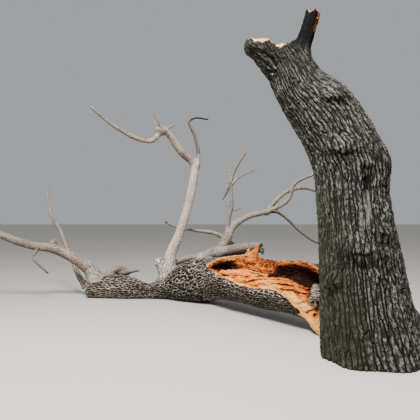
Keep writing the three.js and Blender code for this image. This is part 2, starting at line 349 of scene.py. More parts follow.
class Grid:
    """A block of signed distances that solids are added to and carved from."""

    def __init__(self, low: Sequence[float], high: Sequence[float], voxel: float) -> None:
        """Makes an empty block.

        Args:
            low: lowest corner.
            high: highest corner.
            voxel: spacing of the samples.
        """
        self.voxel = voxel
        self.low = np.array(low, float)
        shape = np.ceil((np.array(high) - self.low) / voxel).astype(int) + 1
        self.values = np.full(shape, FAR, np.float32)
        self.skin = self.values

    def blank(self) -> "Grid":
        """An empty block on the same samples."""
        twin = Grid(self.low, self.low, self.voxel)
        twin.values = np.full(self.values.shape, FAR, np.float32)
        return twin

    def merge(self, other: "Grid", blend: float) -> None:
        """Adds another block's solid as barked material, with a fillet of width blend."""
        self.values = soft_min(self.values, other.values, blend)
        self.skin = np.minimum(self.skin, other.values)

    def window(self, low: Array, high: Array) -> tuple[slice, ...]:
        """Index ranges that cover a box."""
        a = np.clip(np.floor((low - self.low) / self.voxel).astype(int), 0, self.values.shape)
        b = np.clip(np.ceil((high - self.low) / self.voxel).astype(int) + 1, 0, self.values.shape)
        return tuple(slice(int(i), int(max(i, j))) for i, j in zip(a, b))

    def open_points(self, window: tuple[slice, ...]) -> list[Array]:
        """The window's X, Y and Z samples, shaped to broadcast."""
        lines = [self.low[k] + self.voxel * np.arange(window[k].start, window[k].stop) for k in range(3)]
        return [lines[0][:, None, None], lines[1][None, :, None], lines[2][None, None, :]]

    def ahead(self, window: tuple[slice, ...], place: Sequence[float], way: Sequence[float]) -> Array:
        """How far the window's samples lie in front of a plane through place that faces way."""
        x, y, z = self.open_points(window)
        return (x - place[0]) * way[0] + (y - place[1]) * way[1] + (z - place[2]) * way[2]

    def halve(self, place: Sequence[float], way: Sequence[float]) -> None:
        """Keeps what lies behind a plane through place that faces way, in both fields."""
        plane = self.ahead(self.window(self.low, self.low + FAR_AWAY), place, way)
        self.values = np.maximum(self.values, plane).astype(np.float32)
        self.skin = np.maximum(self.skin, plane).astype(np.float32)

    def above_ground(self) -> None:
        """Cuts the block flat at the ground."""
        self.halve((0.0, 0.0, 0.0), (0.0, 0.0, -1.0))

    def add_axis(self, axis: Axis, blend: float, swell: Callable | None = None, flat: Ends = ROUND) -> None:
        """Adds a limb.

        Args:
            axis: its centre line and radii.
            blend: width of the fillet to what is there.
            swell: optional extra radius from X, Y and Z.
            flat: whether its start and its end are cut square instead of round.
        """
        reach = axis.radii.max() + blend + 0.06
        window = self.window(axis.points.min(0) - reach, axis.points.max(0) + reach)
        if any(s.start >= s.stop for s in window):
            return
        local = np.full([s.stop - s.start for s in window], FAR, np.float32)
        for i in range(len(axis.points) - 1):
            a, b = axis.points[i], axis.points[i + 1]
            size = max(axis.radii[i], axis.radii[i + 1]) + blend + 0.05
            sub = self.window(np.minimum(a, b) - size, np.maximum(a, b) + size)
            inner = tuple(slice(s.start - w.start, s.stop - w.start) for s, w in zip(sub, window))
            d = b - a
            t = np.clip(self.ahead(sub, a, d) / (d @ d), 0, 1)
            square = sum((line - a[k] - t * d[k]) ** 2 for k, line in enumerate(self.open_points(sub)))
            gap = np.sqrt(square) - (axis.radii[i] * (1 - t) + axis.radii[i + 1] * t)
            local[inner] = np.minimum(local[inner], gap)
        if swell:
            local -= swell(*self.open_points(window)).astype(np.float32)
        for is_cut, end, sign in ((flat[0], 0, -1.0), (flat[1], -1, 1.0)):
            if is_cut:
                plane = self.ahead(window, axis.points[end], axis.tangents[end] * sign)
                local = np.maximum(local, plane).astype(np.float32)
        self.values[window] = soft_min(self.values[window], local, blend)

    def add_lump(self, place: Triple, size: Triple, blend: float) -> None:
        """Adds a ball scaled to three half-sizes, with a fillet of width blend."""
        at, half = np.array(place), np.array(size)
        window = self.window(at - half - blend - 0.05, at + half + blend + 0.05)
        square = sum(((line - at[k]) / half[k]) ** 2 for k, line in enumerate(self.open_points(window)))
        self.values[window] = soft_min(self.values[window], (np.sqrt(square) - 1) * half.min(), blend)

    def remember_skin(self) -> None:
        """Keeps the uncarved field, so that torn faces can be told from bark."""
        self.skin = self.values.copy()

    def carve(self, cut: Callable, low: Sequence[float], high: Sequence[float]) -> None:
        """Removes where cut is below zero, within a box.

        Args:
            cut: signed distance of the removed space, from points as rows.
            low: lowest corner of the box.
            high: highest corner of the box.
        """
        window = self.window(np.array(low), np.array(high))
        block = self.values[window]
        near = np.argwhere(block < 0.06)
        if not len(near):
            return
        start = np.array([s.start for s in window])
        places = self.low + (near + start) * self.voxel
        picked = tuple(near.T)
        block[picked] = np.maximum(block[picked], -cut(places).astype(np.float32))

    def sample(self, values: Array, points: Array) -> Array:
        """Field values at points, blended between samples."""
        g = np.clip((points - self.low) / self.voxel, 0, np.array(values.shape) - 1.001)
        i = g.astype(int)
        w = g - i
        total = np.zeros(len(points))
        for corner in range(8):
            pick = np.array([corner & 1, corner >> 1 & 1, corner >> 2 & 1])
            j = i + pick
            total += values[j[:, 0], j[:, 1], j[:, 2]] * np.prod(np.where(pick, w, 1 - w), axis=1)
        return total

    def surface(self) -> tuple[Array, Array]:
        """The solid's closed surface.

        Returns:
            Points and four-sided faces that turn outward.
        """
        for k in range(3):
            edge = [slice(None)] * 3
            for end in (0, -1):
                edge[k] = end
                self.values[tuple(edge)] = np.maximum(self.values[tuple(edge)], self.voxel)
        grid = openvdb.FloatGrid(FAR)
        grid.copyFromArray(np.clip(self.values, -FAR, FAR))
        points, _, quads = grid.convertToPolygons(isovalue=0.0, adaptivity=0.0)
        places = self.low + points.astype(float) * self.voxel
        a, b, c, d = (places[quads[:, k]] for k in range(4))
        volume = (np.cross(b - a, c - a) * a).sum() + (np.cross(c - a, d - a) * a).sum()
        return places, (quads if volume > 0 else quads[:, ::-1]).astype(np.int32)


def crevices(grid: Grid, points: Array) -> Array:
    """How deep each point of the surface sits between its neighbours, from 0 in the open to 1."""
    steps = grid.voxel * np.eye(3)
    slope = [grid.sample(grid.values, points + d) - grid.sample(grid.values, points - d) for d in steps]
    slope = np.stack(slope, 1)
    slope = slope / np.maximum(np.linalg.norm(slope, axis=1, keepdims=True), 1e-9)
    return np.clip(1 - grid.sample(grid.values, points + slope * CREVICE_REACH) / CREVICE_REACH, 0, 1)


def largest_island(points: Array, quads: Array) -> tuple[Array, Array]:
    """Drops the small loose bits of a mesh.

    Args:
        points: its points.
        quads: its faces.

    Returns:
        The points and faces of the islands that hold enough of the points.
    """
    label = np.arange(len(points))
    pairs = np.vstack([quads[:, [0, 1]], quads[:, [1, 2]], quads[:, [2, 3]]])
    while True:
        low = np.minimum(label[pairs[:, 0]], label[pairs[:, 1]])
        fresh = label.copy()
        np.minimum.at(fresh, pairs[:, 0], low)
        np.minimum.at(fresh, pairs[:, 1], low)
        fresh = fresh[fresh]
        if (fresh == label).all():
            break
        label = fresh
    _, where, counts = np.unique(label, return_inverse=True, return_counts=True)
    keep = (counts >= LEAST_ISLAND * len(points))[where]
    new = np.cumsum(keep) - 1
    faces = quads[keep[quads[:, 0]]]
    return points[keep], new[faces].astype(np.int32)


LUMPINESS = 0.08
KNOT_LEVEL = 0.35
KNOT_SIZE = 0.45


def sweep(axis: Axis, around: int, seed: int, ragged: float) -> tuple[Array, list]:
    """A closed, slightly uneven tube for a thin limb.

    Args:
        axis: its centre line and radii.
        around: points in each ring.
        seed: which unevenness.
        ragged: length of the splinters at a broken tip.

    Returns:
        Points and faces.
    """
    angle = np.arange(around) * 2 * math.pi / around
    rows = len(axis.points)
    cos, sin = np.cos(angle), np.sin(angle)
    unit = axis.sides[:, None, :] * cos[None, :, None] + axis.ups[:, None, :] * sin[None, :, None]
    girth = axis.radii[:, None]
    straight = np.stack(np.broadcast_arrays(girth * cos, girth * sin, axis.run[:, None]), axis=-1)
    wave = layered_noise(straight.reshape(-1, 3), (14, 14, 5), seed).reshape(rows, around)
    beads = np.stack([axis.run * 7, 0 * axis.run, 0 * axis.run + seed], 1)
    knots = np.maximum(smooth_noise(beads, seed), KNOT_LEVEL)[:, None]
    girth = girth * (1 + LUMPINESS * wave + KNOT_SIZE * (knots - KNOT_LEVEL))
    points = axis.points[:, None, :] + unit * girth[:, :, None]
    if ragged:
        jag = smooth_noise(np.stack([angle * 2.1, angle * 0, angle * 0], 1), seed + 5)
        for back in range(3):
            points[-1 - back] += axis.tangents[-1] * (ragged * (jag * (1 - back / 3)))[:, None]
    points = points.reshape(-1, 3)
    tip = axis.points[-1] + axis.tangents[-1] * axis.radii[-1] * (0.1 if ragged else 0.9)
    points = np.vstack([points, axis.points[0], tip])
    edges = [(k, (k + 1) % around) for k in range(around)]
    end = (rows - 1) * around
    starts = range(0, end, around)
    faces: list = [(r + k, r + n, r + around + n, r + around + k) for r in starts for k, n in edges]
    for k, n in edges:
        faces += [(len(points) - 2, n, k), (len(points) - 1, end + k, end + n)]
    return points, faces


def flared(axis: Axis, share: float) -> Axis:
    """The same axis with a flared foot."""
    grow = 1 + share * np.exp(-axis.run / (1.6 * axis.radii[0]))
    return Axis(axis.points, axis.radii * grow, axis.run)


# Meshes with attributes


def linked(name: str, data: object) -> Thing:
    """A mesh, light or camera as an object of the scene."""
    thing = bpy.data.objects.new(name, data)
    bpy.context.scene.collection.objects.link(thing)
    return thing


class Skin:
    """Turns points and faces into a mesh object with the attributes that its bark and wood read."""

    def __init__(self, name: str, points: Array, faces: Iterable) -> None:
        """Makes the mesh.

        Args:
            name: object name.
            points: places, one per row.
            faces: index lists.
        """
        self.points = points
        mesh = bpy.data.meshes.new(name)
        mesh.from_pydata(points.tolist(), [], faces.tolist() if isinstance(faces, Array) else faces)
        mesh.polygons.foreach_set("use_smooth", np.ones(len(mesh.polygons), bool))
        mesh.update()
        self.mesh = mesh
        self.name = name

    def numbers(self, **values: Array | float) -> "Skin":
        """Stores one number per point for each name, over what the name held."""
        for name, given in values.items():
            data = np.broadcast_to(np.asarray(given, np.float32), len(self.points))
            held = self.mesh.attributes.get(name) or self.mesh.attributes.new(name, "FLOAT", "POINT")
            held.data.foreach_set("value", np.ascontiguousarray(data))
        return self

    def read(self, name: str) -> Array:
        """The stored numbers of one name."""
        values = np.empty(len(self.points), np.float32)
        self.mesh.attributes[name].data.foreach_get("value", values)
        return values

    def vector(self, name: str, values: Array) -> "Skin":
        """Stores one vector per point."""
        flat = np.ascontiguousarray(values, np.float32).ravel()
        self.mesh.attributes.new(name, "FLOAT_VECTOR", "POINT").data.foreach_set("vector", flat)
        return self

    def underside(self) -> Array:
        """How far each point faces down: 0 above and at the sides, 1 underneath."""
        normals = np.empty(3 * len(self.points), np.float32)
        self.mesh.vertex_normals.foreach_get("vector", normals)
        return ease(0.5, -0.6, normals[2::3])

    def build(self) -> Thing:
        """Links the mesh as an object."""
        return linked(self.name, self.mesh)


def straighten(points: Array, axes: Sequence[Axis]) -> BarkPlaces:
    """Places of points on whichever limb they lie on.

    Args:
        points: places, one per row.
        axes: the limbs' centre lines.

    Returns:
        The straightened places, with an offset for each limb.
    """
    best = np.full(len(points), FAR_AWAY)
    second = np.full(len(points), FAR_AWAY)
    places = BarkPlaces.empty(len(points))
    for index, axis in enumerate(axes):
        skin, straight = axis.near(points)
        skin = skin + 0.15 * axis.radii.max()
        hit = skin < best
        second = np.where(hit, best, np.minimum(second, skin))
        best[hit] = skin[hit]
        places.fill(hit, axis, straight[hit], index * LIMB_SHIFT)
    places.seam = 1 - ease(0.0, SEAM_REACH, second - best)
    return places


def join(name: str, parts: Sequence[Thing]) -> Thing:
    """Joins objects of one kind into one piece."""
    bpy.ops.object.select_all(action="DESELECT")
    for part in parts:
        part.select_set(True)
    bpy.context.view_layer.objects.active = parts[0]
    bpy.ops.object.join()
    parts[0].name = name
    parts[0].data.name = name
    return parts[0]


# Node trees


class Graph:
    """A node tree with short ways to add what the finishes and reliefs need."""

    def __init__(self, tree: bpy.types.NodeTree) -> None:
        """Starts from an empty tree."""
        self.tree = tree
        tree.nodes.clear()

    def node(self, kind: str, **settings: object) -> bpy.types.Node:
        """Adds a node and sets its properties."""
        made = self.tree.nodes.new(kind)
        for key, value in settings.items():
            setattr(made, key, value)
        return made

    def feed(self, socket: Socket, value: Value) -> None:
        """Links a socket to value, or sets it."""
        if isinstance(value, Socket):
            self.tree.links.new(value, socket)
        else:
            socket.default_value = value

    def fed(self, kind: str, inputs: dict[int | str, object], **settings: object) -> bpy.types.Node:
        """Adds a node, sets its properties and feeds its inputs by name or number."""
        made = self.node(kind, **settings)
        for key, value in inputs.items():
            self.feed(made.inputs[key], value)
        return made

    def math(self, operation: str, a: Value, b: Value = 0.0, clamp: bool = False) -> Socket:
        """One scalar operation."""
        return self.fed("ShaderNodeMath", {0: a, 1: b}, operation=operation, use_clamp=clamp).outputs[0]

    def plus(self, a: Value, b: Value, clamp: bool = False) -> Socket:
        """Sum of two numbers."""
        return self.math("ADD", a, b, clamp)

    def minus(self, a: Value, b: Value, clamp: bool = False) -> Socket:
        """Difference of two numbers."""
        return self.math("SUBTRACT", a, b, clamp)

    def times(self, a: Value, b: Value, clamp: bool = False) -> Socket:
        """Product of two numbers."""
        return self.math("MULTIPLY", a, b, clamp)

    def vector(self, operation: str, a: Value, b: Value) -> Socket:
        """One vector operation."""
        return self.fed("ShaderNodeVectorMath", {0: a, 1: b}, operation=operation).outputs[0]

    def scaled(self, a: Value, share: Value) -> Socket:
        """A vector times a number."""
        return self.fed("ShaderNodeVectorMath", {0: a, "Scale": share}, operation="SCALE").outputs[0]

    def smooth(self, value: Value, low: float, high: float, to: Pair = (0.0, 1.0)) -> Socket:
        """Smooth step between low and high."""
        inputs = dict(enumerate((value, low, high, *to)))
        return self.fed("ShaderNodeMapRange", inputs, interpolation_type="SMOOTHSTEP").outputs[0]

    def noise(self, where: Value, scale: Value, detail: float, rough: float, output: str = "Fac") -> Socket:
        """Noise from 0 to 1 in cells of size 1 / scale, with finer layers; scale may be one for each axis."""
        if isinstance(scale, tuple):
            where, scale = self.vector("MULTIPLY", where, scale), 1.0
        inputs = {"Vector": where, "Scale": scale, "Detail": detail, "Roughness": rough}
        return self.fed("ShaderNodeTexNoise", inputs).outputs[output]

    def edges(self, where: Value) -> Socket:
        """Distance to the nearest border between random cells of a flat pattern."""
        inputs = {"Vector": where, "Scale": 1.0}
        made = self.fed("ShaderNodeTexVoronoi", inputs, feature="DISTANCE_TO_EDGE", voronoi_dimensions="2D")
        return made.outputs["Distance"]

    def mix(self, share: Value, a: Value, b: Value) -> Socket:
        """Number between a and b."""
        return self.fed("ShaderNodeMix", {0: share, 2: a, 3: b}, data_type="FLOAT").outputs[0]

    def blend(self, share: Value, a: Value, b: Value, kind: str = "MIX") -> Socket:
        """Colour between a and b."""
        return self.fed("ShaderNodeMix", {0: share, 6: a, 7: b}, data_type="RGBA", blend_type=kind).outputs[2]

    def ramp(self, share: Value, *stops: tuple[float, Colour]) -> Socket:
        """Colour from a ramp of (place, colour) stops."""
        made = self.fed("ShaderNodeValToRGB", {0: share})
        elements = made.color_ramp.elements
        while len(elements) < len(stops):
            elements.new(0.5)
        for element, (place, colour) in zip(elements, stops):
            element.position = place
            element.color = linear(*colour)
        return made.outputs[0]

    def random(self, low: Triple, high: Triple, seed: Value) -> Socket:
        """Random vector for each element of a geometry tree."""
        inputs = {0: low, 1: high, "Seed": seed}
        return self.fed("FunctionNodeRandomValue", inputs, data_type="FLOAT_VECTOR").outputs[0]

    def read(self, name: str, kind: str = "Fac") -> Socket:
        """A mesh attribute in a material."""
        return self.node("ShaderNodeAttribute", attribute_name=name).outputs[kind]

    def field(self, name: str, kind: str = "FLOAT") -> Socket:
        """A mesh attribute in a geometry tree."""
        made = self.node("GeometryNodeInputNamedAttribute", data_type=kind)
        made.inputs["Name"].default_value = name
        return made.outputs["Attribute"]


def linear(red: int, green: int, blue: int) -> tuple[float, float, float, float]:
    """An sRGB colour from 0 to 255 as a linear one."""
    parts = [c / 255 for c in (red, green, blue)]
    out = [c / 12.92 if c <= 0.04045 else ((c + 0.055) / 1.055) ** 2.4 for c in parts]
    return (out[0], out[1], out[2], 1.0)


def labels(kind: type) -> list[str]:
    """The socket names of a dataclass's sizes, such as Fine Depth for fine_depth."""
    return [size.name.replace("_", " ").title() for size in fields(kind)]


def settings(sizes: object) -> dict[str, object]:
    """What each of those sockets is set to."""
    return {label: getattr(sizes, size.name) for label, size in zip(labels(type(sizes)), fields(sizes))}


class NodeRig:
    """A geometry node tree with named inputs, to be run once on a mesh."""

    def __init__(self, name: str, inputs: Sequence[tuple[str, str]]) -> None:
        """Makes the tree with its sockets.

        Args:
            name: tree name.
            inputs: names and socket kinds after the geometry.
        """
        self.tree = bpy.data.node_groups.new(name, "GeometryNodeTree")
        self.graph = Graph(self.tree)
        self.tree.interface.new_socket("Geometry", in_out="INPUT", socket_type="NodeSocketGeometry")
        for label, kind in inputs:
            self.tree.interface.new_socket(label, in_out="INPUT", socket_type="NodeSocket" + kind)
        self.tree.interface.new_socket("Geometry", in_out="OUTPUT", socket_type="NodeSocketGeometry")
        self.inputs = self.graph.node("NodeGroupInput").outputs
        self.output = self.graph.node("NodeGroupOutput").inputs[0]

    def run(self, thing: Thing, values: dict[str, object]) -> Thing:
        """Runs the tree on an object and keeps the result as its plain mesh.

        Args:
            thing: the object.
            values: what each named input is set to.

        Returns:
            The same object.
        """
        modifier = thing.modifiers.new(self.tree.name, "NODES")
        modifier.node_group = self.tree
        items = self.tree.interface.items_tree
        keys = {item.name: item.identifier for item in items if item.in_out == "INPUT"}
        for label, value in values.items():
            modifier[keys[label]] = value
        evaluated = thing.evaluated_get(bpy.context.evaluated_depsgraph_get())
        mesh = bpy.data.meshes.new_from_object(evaluated)
        thing.modifiers.remove(modifier)
        old = thing.data
        thing.data = mesh
        bpy.data.meshes.remove(old)
        mesh.name = thing.name
        return thing


SEED_STEP = (1.7, 2.3, 3.1)
CALM_HEIGHT = 0.62
SLOPE_STEP = 0.02
STEEPEST = 0.12
FINE_STRETCH = 2.6
BARK_MIDDLE = 0.55
WOOD_THREADS = (42.0, 42.0, 2.6)
WOOD_CRUMBS = (26.0, 26.0, 18.0)


def furrows(
    g: Graph, shift: Socket, gnarl: Socket, spacing: Value, stretch: Value, warp: Value
) -> tuple[Socket, Socket]:
    """Random furrows of bark, in a geometry tree or a material.

    The stretched cells' distance is turned back into a true one, so that a furrow is as narrow across a
    ridge's end as along its side.

    Args:
        g: the tree.
        shift: bark coordinates in metres, moved by the seed.
        gnarl: where the ridges swirl, 0 to 1.
        spacing: mean distance between furrows.
        stretch: how much longer than wide the ridges are.
        warp: how far they bend.

    Returns:
        Distance from the nearest furrow, in ridge widths, and the bent place in ridge widths.
    """
    across = g.math("DIVIDE", 1.0, spacing)
    wave = g.noise(g.scaled(shift, g.times(across, 0.14)), 1.0, 3.0, 0.6, "Color")
    bend = g.vector("SUBTRACT", wave, (0.5, 0.5, 0.5))
    reach = g.times(warp, g.plus(2.0, g.times(gnarl, 3.0)))
    even = g.vector("ADD", g.scaled(shift, across), g.scaled(bend, reach))
    shrink = g.math("DIVIDE", 1.0, stretch)
    squeeze = g.fed("ShaderNodeCombineXYZ", {0: 1.0, 1: shrink, 2: 1.0}).outputs[0]
    where = g.vector("MULTIPLY", even, squeeze)
    edge = g.edges(where)
    ahead = g.edges(g.vector("ADD", where, (0.0, SLOPE_STEP, 0.0)))
    slope = g.math("DIVIDE", g.minus(ahead, edge), SLOPE_STEP)
    square = g.math("MINIMUM", g.times(slope, slope), 1.0)
    steep = g.minus(1.0, g.times(square, g.minus(1.0, g.times(shrink, shrink))))
    return g.math("DIVIDE", edge, g.math("MAXIMUM", g.math("SQRT", steep), STEEPEST)), even


def bark_heights(g: Graph, shift: Socket, *pattern: Value) -> tuple[Socket, Socket]:
    """Heights from 0 to 1 of trunk bark, from ropes (net 0) to a net of ridges (net 1), and of bough bark.

    Args:
        g: the tree.
        shift: bark coordinates in metres, moved by the seed.
        pattern: gnarl, spacing, stretch, fine spacing, warp and net.

    Returns:
        Both heights.
    """
    gnarl, spacing, stretch, fine, warp, net = pattern
    edge, place = furrows(g, shift, gnarl, spacing, stretch, warp)
    ridge = g.mix(net, g.smooth(edge, 0.03, 0.2), g.smooth(edge, 0.07, 0.27, (1.0, 0.0)))
    cracks = g.smooth(g.edges(g.vector("MULTIPLY", place, (0.9, 0.75, 0.9))), 0.0, 0.12)
    flake = g.smooth(g.noise(place, (2.2, 0.6, 2.2), 3.0, 0.65), 0.4, 0.72)
    flake = g.mix(net, flake, g.plus(0.45, g.times(flake, 0.55)))
    body = g.times(ridge, g.plus(0.24, g.times(cracks, 0.2)))
    coarse = g.plus(body, g.times(g.times(flake, ridge), 0.56), True)
    fine_edge, small_place = furrows(g, shift, gnarl, fine, FINE_STRETCH, warp)
    small = g.times(g.smooth(fine_edge, 0.0, 0.3), 0.5)
    return coarse, g.plus(small, g.times(g.noise(small_place, 1.3, 3.0, 0.6), 0.5))


def seamless_heights(
    g: Graph, front: Socket, rear: Socket, turn: Socket, *pattern: Value
) -> tuple[Socket, Socket]:
    """The bark heights of both ways to unroll the bark, faded into each other."""
    near, far = bark_heights(g, front, *pattern), bark_heights(g, rear, *pattern)
    return g.mix(turn, near[0], far[0]), g.mix(turn, near[1], far[1])


@dataclass(frozen=True)
class BarkRelief:
    """The furrowed relief of bark and the fibres of torn wood, as one geometry node tree."""

    spacing: float
    stretch: float
    depth: float
    fine_spacing: float = 0.026
    fine_depth: float = 0.005
    warp: float = 0.8
    fibre: float = 0.024
    swell: float = 0.02
    net: float = 0.0
    seed: int = 1

    @staticmethod
    def rig() -> NodeRig:
        """Builds the tree that all barked pieces share."""
        sizes = [(label, "Int" if label == "Seed" else "Float") for label in labels(BarkRelief)]
        rig = NodeRig("bark_relief", sizes + [("Bark", "Material"), ("Wood", "Material")])
        g, given = rig.graph, rig.inputs
        wood, fine = g.field("wood"), g.field("fine")
        step = g.scaled(SEED_STEP, given["Seed"])
        pattern = [given[label] for label in ("Spacing", "Stretch", "Fine Spacing", "Warp", "Net")]
        front, rear, grain = (
            g.vector("ADD", g.field(name, "FLOAT_VECTOR"), step) for name in ("front", "rear", "grain")
        )
        coarse, small = seamless_heights(g, front, rear, g.field("turn"), g.field("gnarl"), *pattern)
        threads, crumbs = g.noise(grain, WOOD_THREADS, 4.0, 0.65), g.noise(grain, WOOD_CRUMBS, 3.0, 0.6)
        torn = g.mix(g.field("rot"), threads, crumbs)
        bark = g.mix(fine, coarse, small)
        relief = g.mix(wood, g.mix(g.field("calm"), CALM_HEIGHT, bark), torn)
        depth = g.times(g.mix(fine, given["Depth"], given["Fine Depth"]), g.field("calm"))
        lift = g.times(g.minus(bark, BARK_MIDDLE), depth)
        rough = g.times(g.minus(torn, 0.5), g.times(given["Fibre"], 3.0))
        broad = g.minus(g.noise(g.scaled(grain, 3.3), 1.0, 2.0, 0.55), 0.5)
        broad = g.times(broad, g.times(given["Swell"], g.minus(1.0, wood)))
        rise = g.plus(g.mix(wood, lift, rough), broad)
        offset = g.scaled(g.node("GeometryNodeInputNormal").outputs[0], rise)
        mesh = g.fed("GeometryNodeSetPosition", {"Geometry": given["Geometry"], "Offset": offset}).outputs[0]
        spot = g.node("GeometryNodeInputPosition").outputs[0]
        on_ground = g.vector("MAXIMUM", spot, (-FAR_AWAY, -FAR_AWAY, 0.0))
        mesh = g.fed("GeometryNodeSetPosition", {"Geometry": mesh, "Position": on_ground}).outputs[0]
        stored = {"Geometry": mesh, "Name": "relief", "Value": relief}
        mesh = g.fed("GeometryNodeStoreNamedAttribute", stored, data_type="FLOAT", domain="POINT").outputs[0]
        mesh = g.fed("GeometryNodeSetMaterial", {"Geometry": mesh, "Material": given["Bark"]}).outputs[0]
        is_torn = g.math("GREATER_THAN", wood, 0.5)
        torn_faces = {"Geometry": mesh, "Selection": is_torn, "Material": given["Wood"]}
        mesh = g.fed("GeometryNodeSetMaterial", torn_faces).outputs[0]
        g.feed(rig.output, g.fed("GeometryNodeRealizeInstances", {0: mesh}).outputs[0])
        return rig


TRUNK_RELIEF = BarkRelief(
    spacing=0.05, stretch=12.0, depth=0.03, fine_spacing=0.03, fine_depth=0.014, warp=0.8, seed=3
)
STEM_RELIEF = BarkRelief(
    spacing=0.044, stretch=2.8, depth=0.028, fine_depth=0.008, warp=1.0, net=0.75, seed=8
)
BOUGH_RELIEF = BarkRelief(spacing=0.034, stretch=3.4, depth=0.012, fine_depth=0.008, seed=8, swell=0.016)
TWIG_RELIEF = BarkRelief(
    spacing=0.03, stretch=2.2, depth=0.004, fine_spacing=0.024, fine_depth=0.003, swell=0.006, seed=21
)


@dataclass(frozen=True)
class Splinters:
    """Thin splinters that stand on a torn face, along its fibres."""

    density: float = 2600.0
    length: float = 0.05
    girth: float = 0.0028
    lift: float = 0.32
    spread: float = 0.3
    corners: int = 5
    seed: int = 4

    @staticmethod
    def rig() -> NodeRig:
        """Builds the tree; it turns a piece into the splinters that stand on it."""
        sizes = [(label, "Int" if label in ("Corners", "Seed") else "Float") for label in labels(Splinters)]
        rig = NodeRig("splinters", sizes + [("Wood", "Material")])
        g, given = rig.graph, rig.inputs
        share = g.times(g.field("splinter"), g.math("GREATER_THAN", g.field("wood"), 0.5))
        density = g.times(given["Density"], share)
        chosen = {"Mesh": given["Geometry"], "Density": density, "Seed": given["Seed"]}
        spread = g.fed("GeometryNodeDistributePointsOnFaces", chosen)
        stray = g.random((-1.0, -1.0, -1.0), (1.0, 1.0, 1.0), given["Seed"])
        out = g.scaled(spread.outputs["Normal"], given["Lift"])
        lean = g.vector("ADD", out, g.scaled(stray, given["Spread"]))
        way = g.vector("ADD", g.field("way", "FLOAT_VECTOR"), lean)
        turn = g.fed("FunctionNodeAlignRotationToVector", {"Vector": way}, axis="Z")
        sizes = {"Vertices": given["Corners"], "Radius Bottom": given["Girth"], "Depth": given["Length"]}
        cone = g.fed("GeometryNodeMeshCone", sizes)
        placed = g.fed(
            "GeometryNodeInstanceOnPoints",
            {
                "Points": spread.outputs["Points"],
                "Instance": cone.outputs["Mesh"],
                "Rotation": turn.outputs[0],
                "Scale": g.random((0.5, 0.5, 0.35), (1.4, 1.4, 1.5), given["Seed"]),
            },
        )
        real = g.fed("GeometryNodeRealizeInstances", {0: placed.outputs[0]}).outputs[0]
        painted = g.fed("GeometryNodeSetMaterial", {"Geometry": real, "Material": given["Wood"]})
        g.feed(rig.output, painted.outputs[0])
        return rig

    def grow(self, kit: "Kit", host: Thing, name: str) -> None:
        """Grows the splinters of one piece and keeps them as a piece of their own.

        Args:
            kit: trees and finishes.
            host: the finished piece.
            name: what the splinters are called.
        """
        piece = linked(name, host.data.copy())
        kit.splinters.run(piece, settings(self) | {"Wood": kit.materials[Surface.WOOD]})
        kit.keep(piece, Surface.WOOD)


# Finishes


def new_shader(name: str) -> tuple[bpy.types.Material, Graph]:
    """An empty material and its node tree."""
    material = bpy.data.materials.new(name)
    material.use_nodes = True
    return material, Graph(material.node_tree)


def finish_shader(
    g: Graph, colour: Socket, height: Socket, bump: float, reach: float, roughness: float, shine: float
) -> None:
    """Ends a material with its rough, slightly bumpy surface.

    Args:
        g: the material's tree.
        colour: base colour.
        height: what the bump follows.
        bump: strength of the bump.
        reach: its height in metres.
        roughness: of the surface.
        shine: strength of the reflection at right angles.
    """
    bumped = g.fed("ShaderNodeBump", {"Strength": bump, "Distance": reach, "Height": height}).outputs[0]
    inputs = {"Base Color": colour, "Roughness": roughness, "Specular IOR Level": shine, "Normal": bumped}
    shader = g.fed("ShaderNodeBsdfPrincipled", inputs)
    g.fed("ShaderNodeOutputMaterial", {0: shader.outputs[0]})


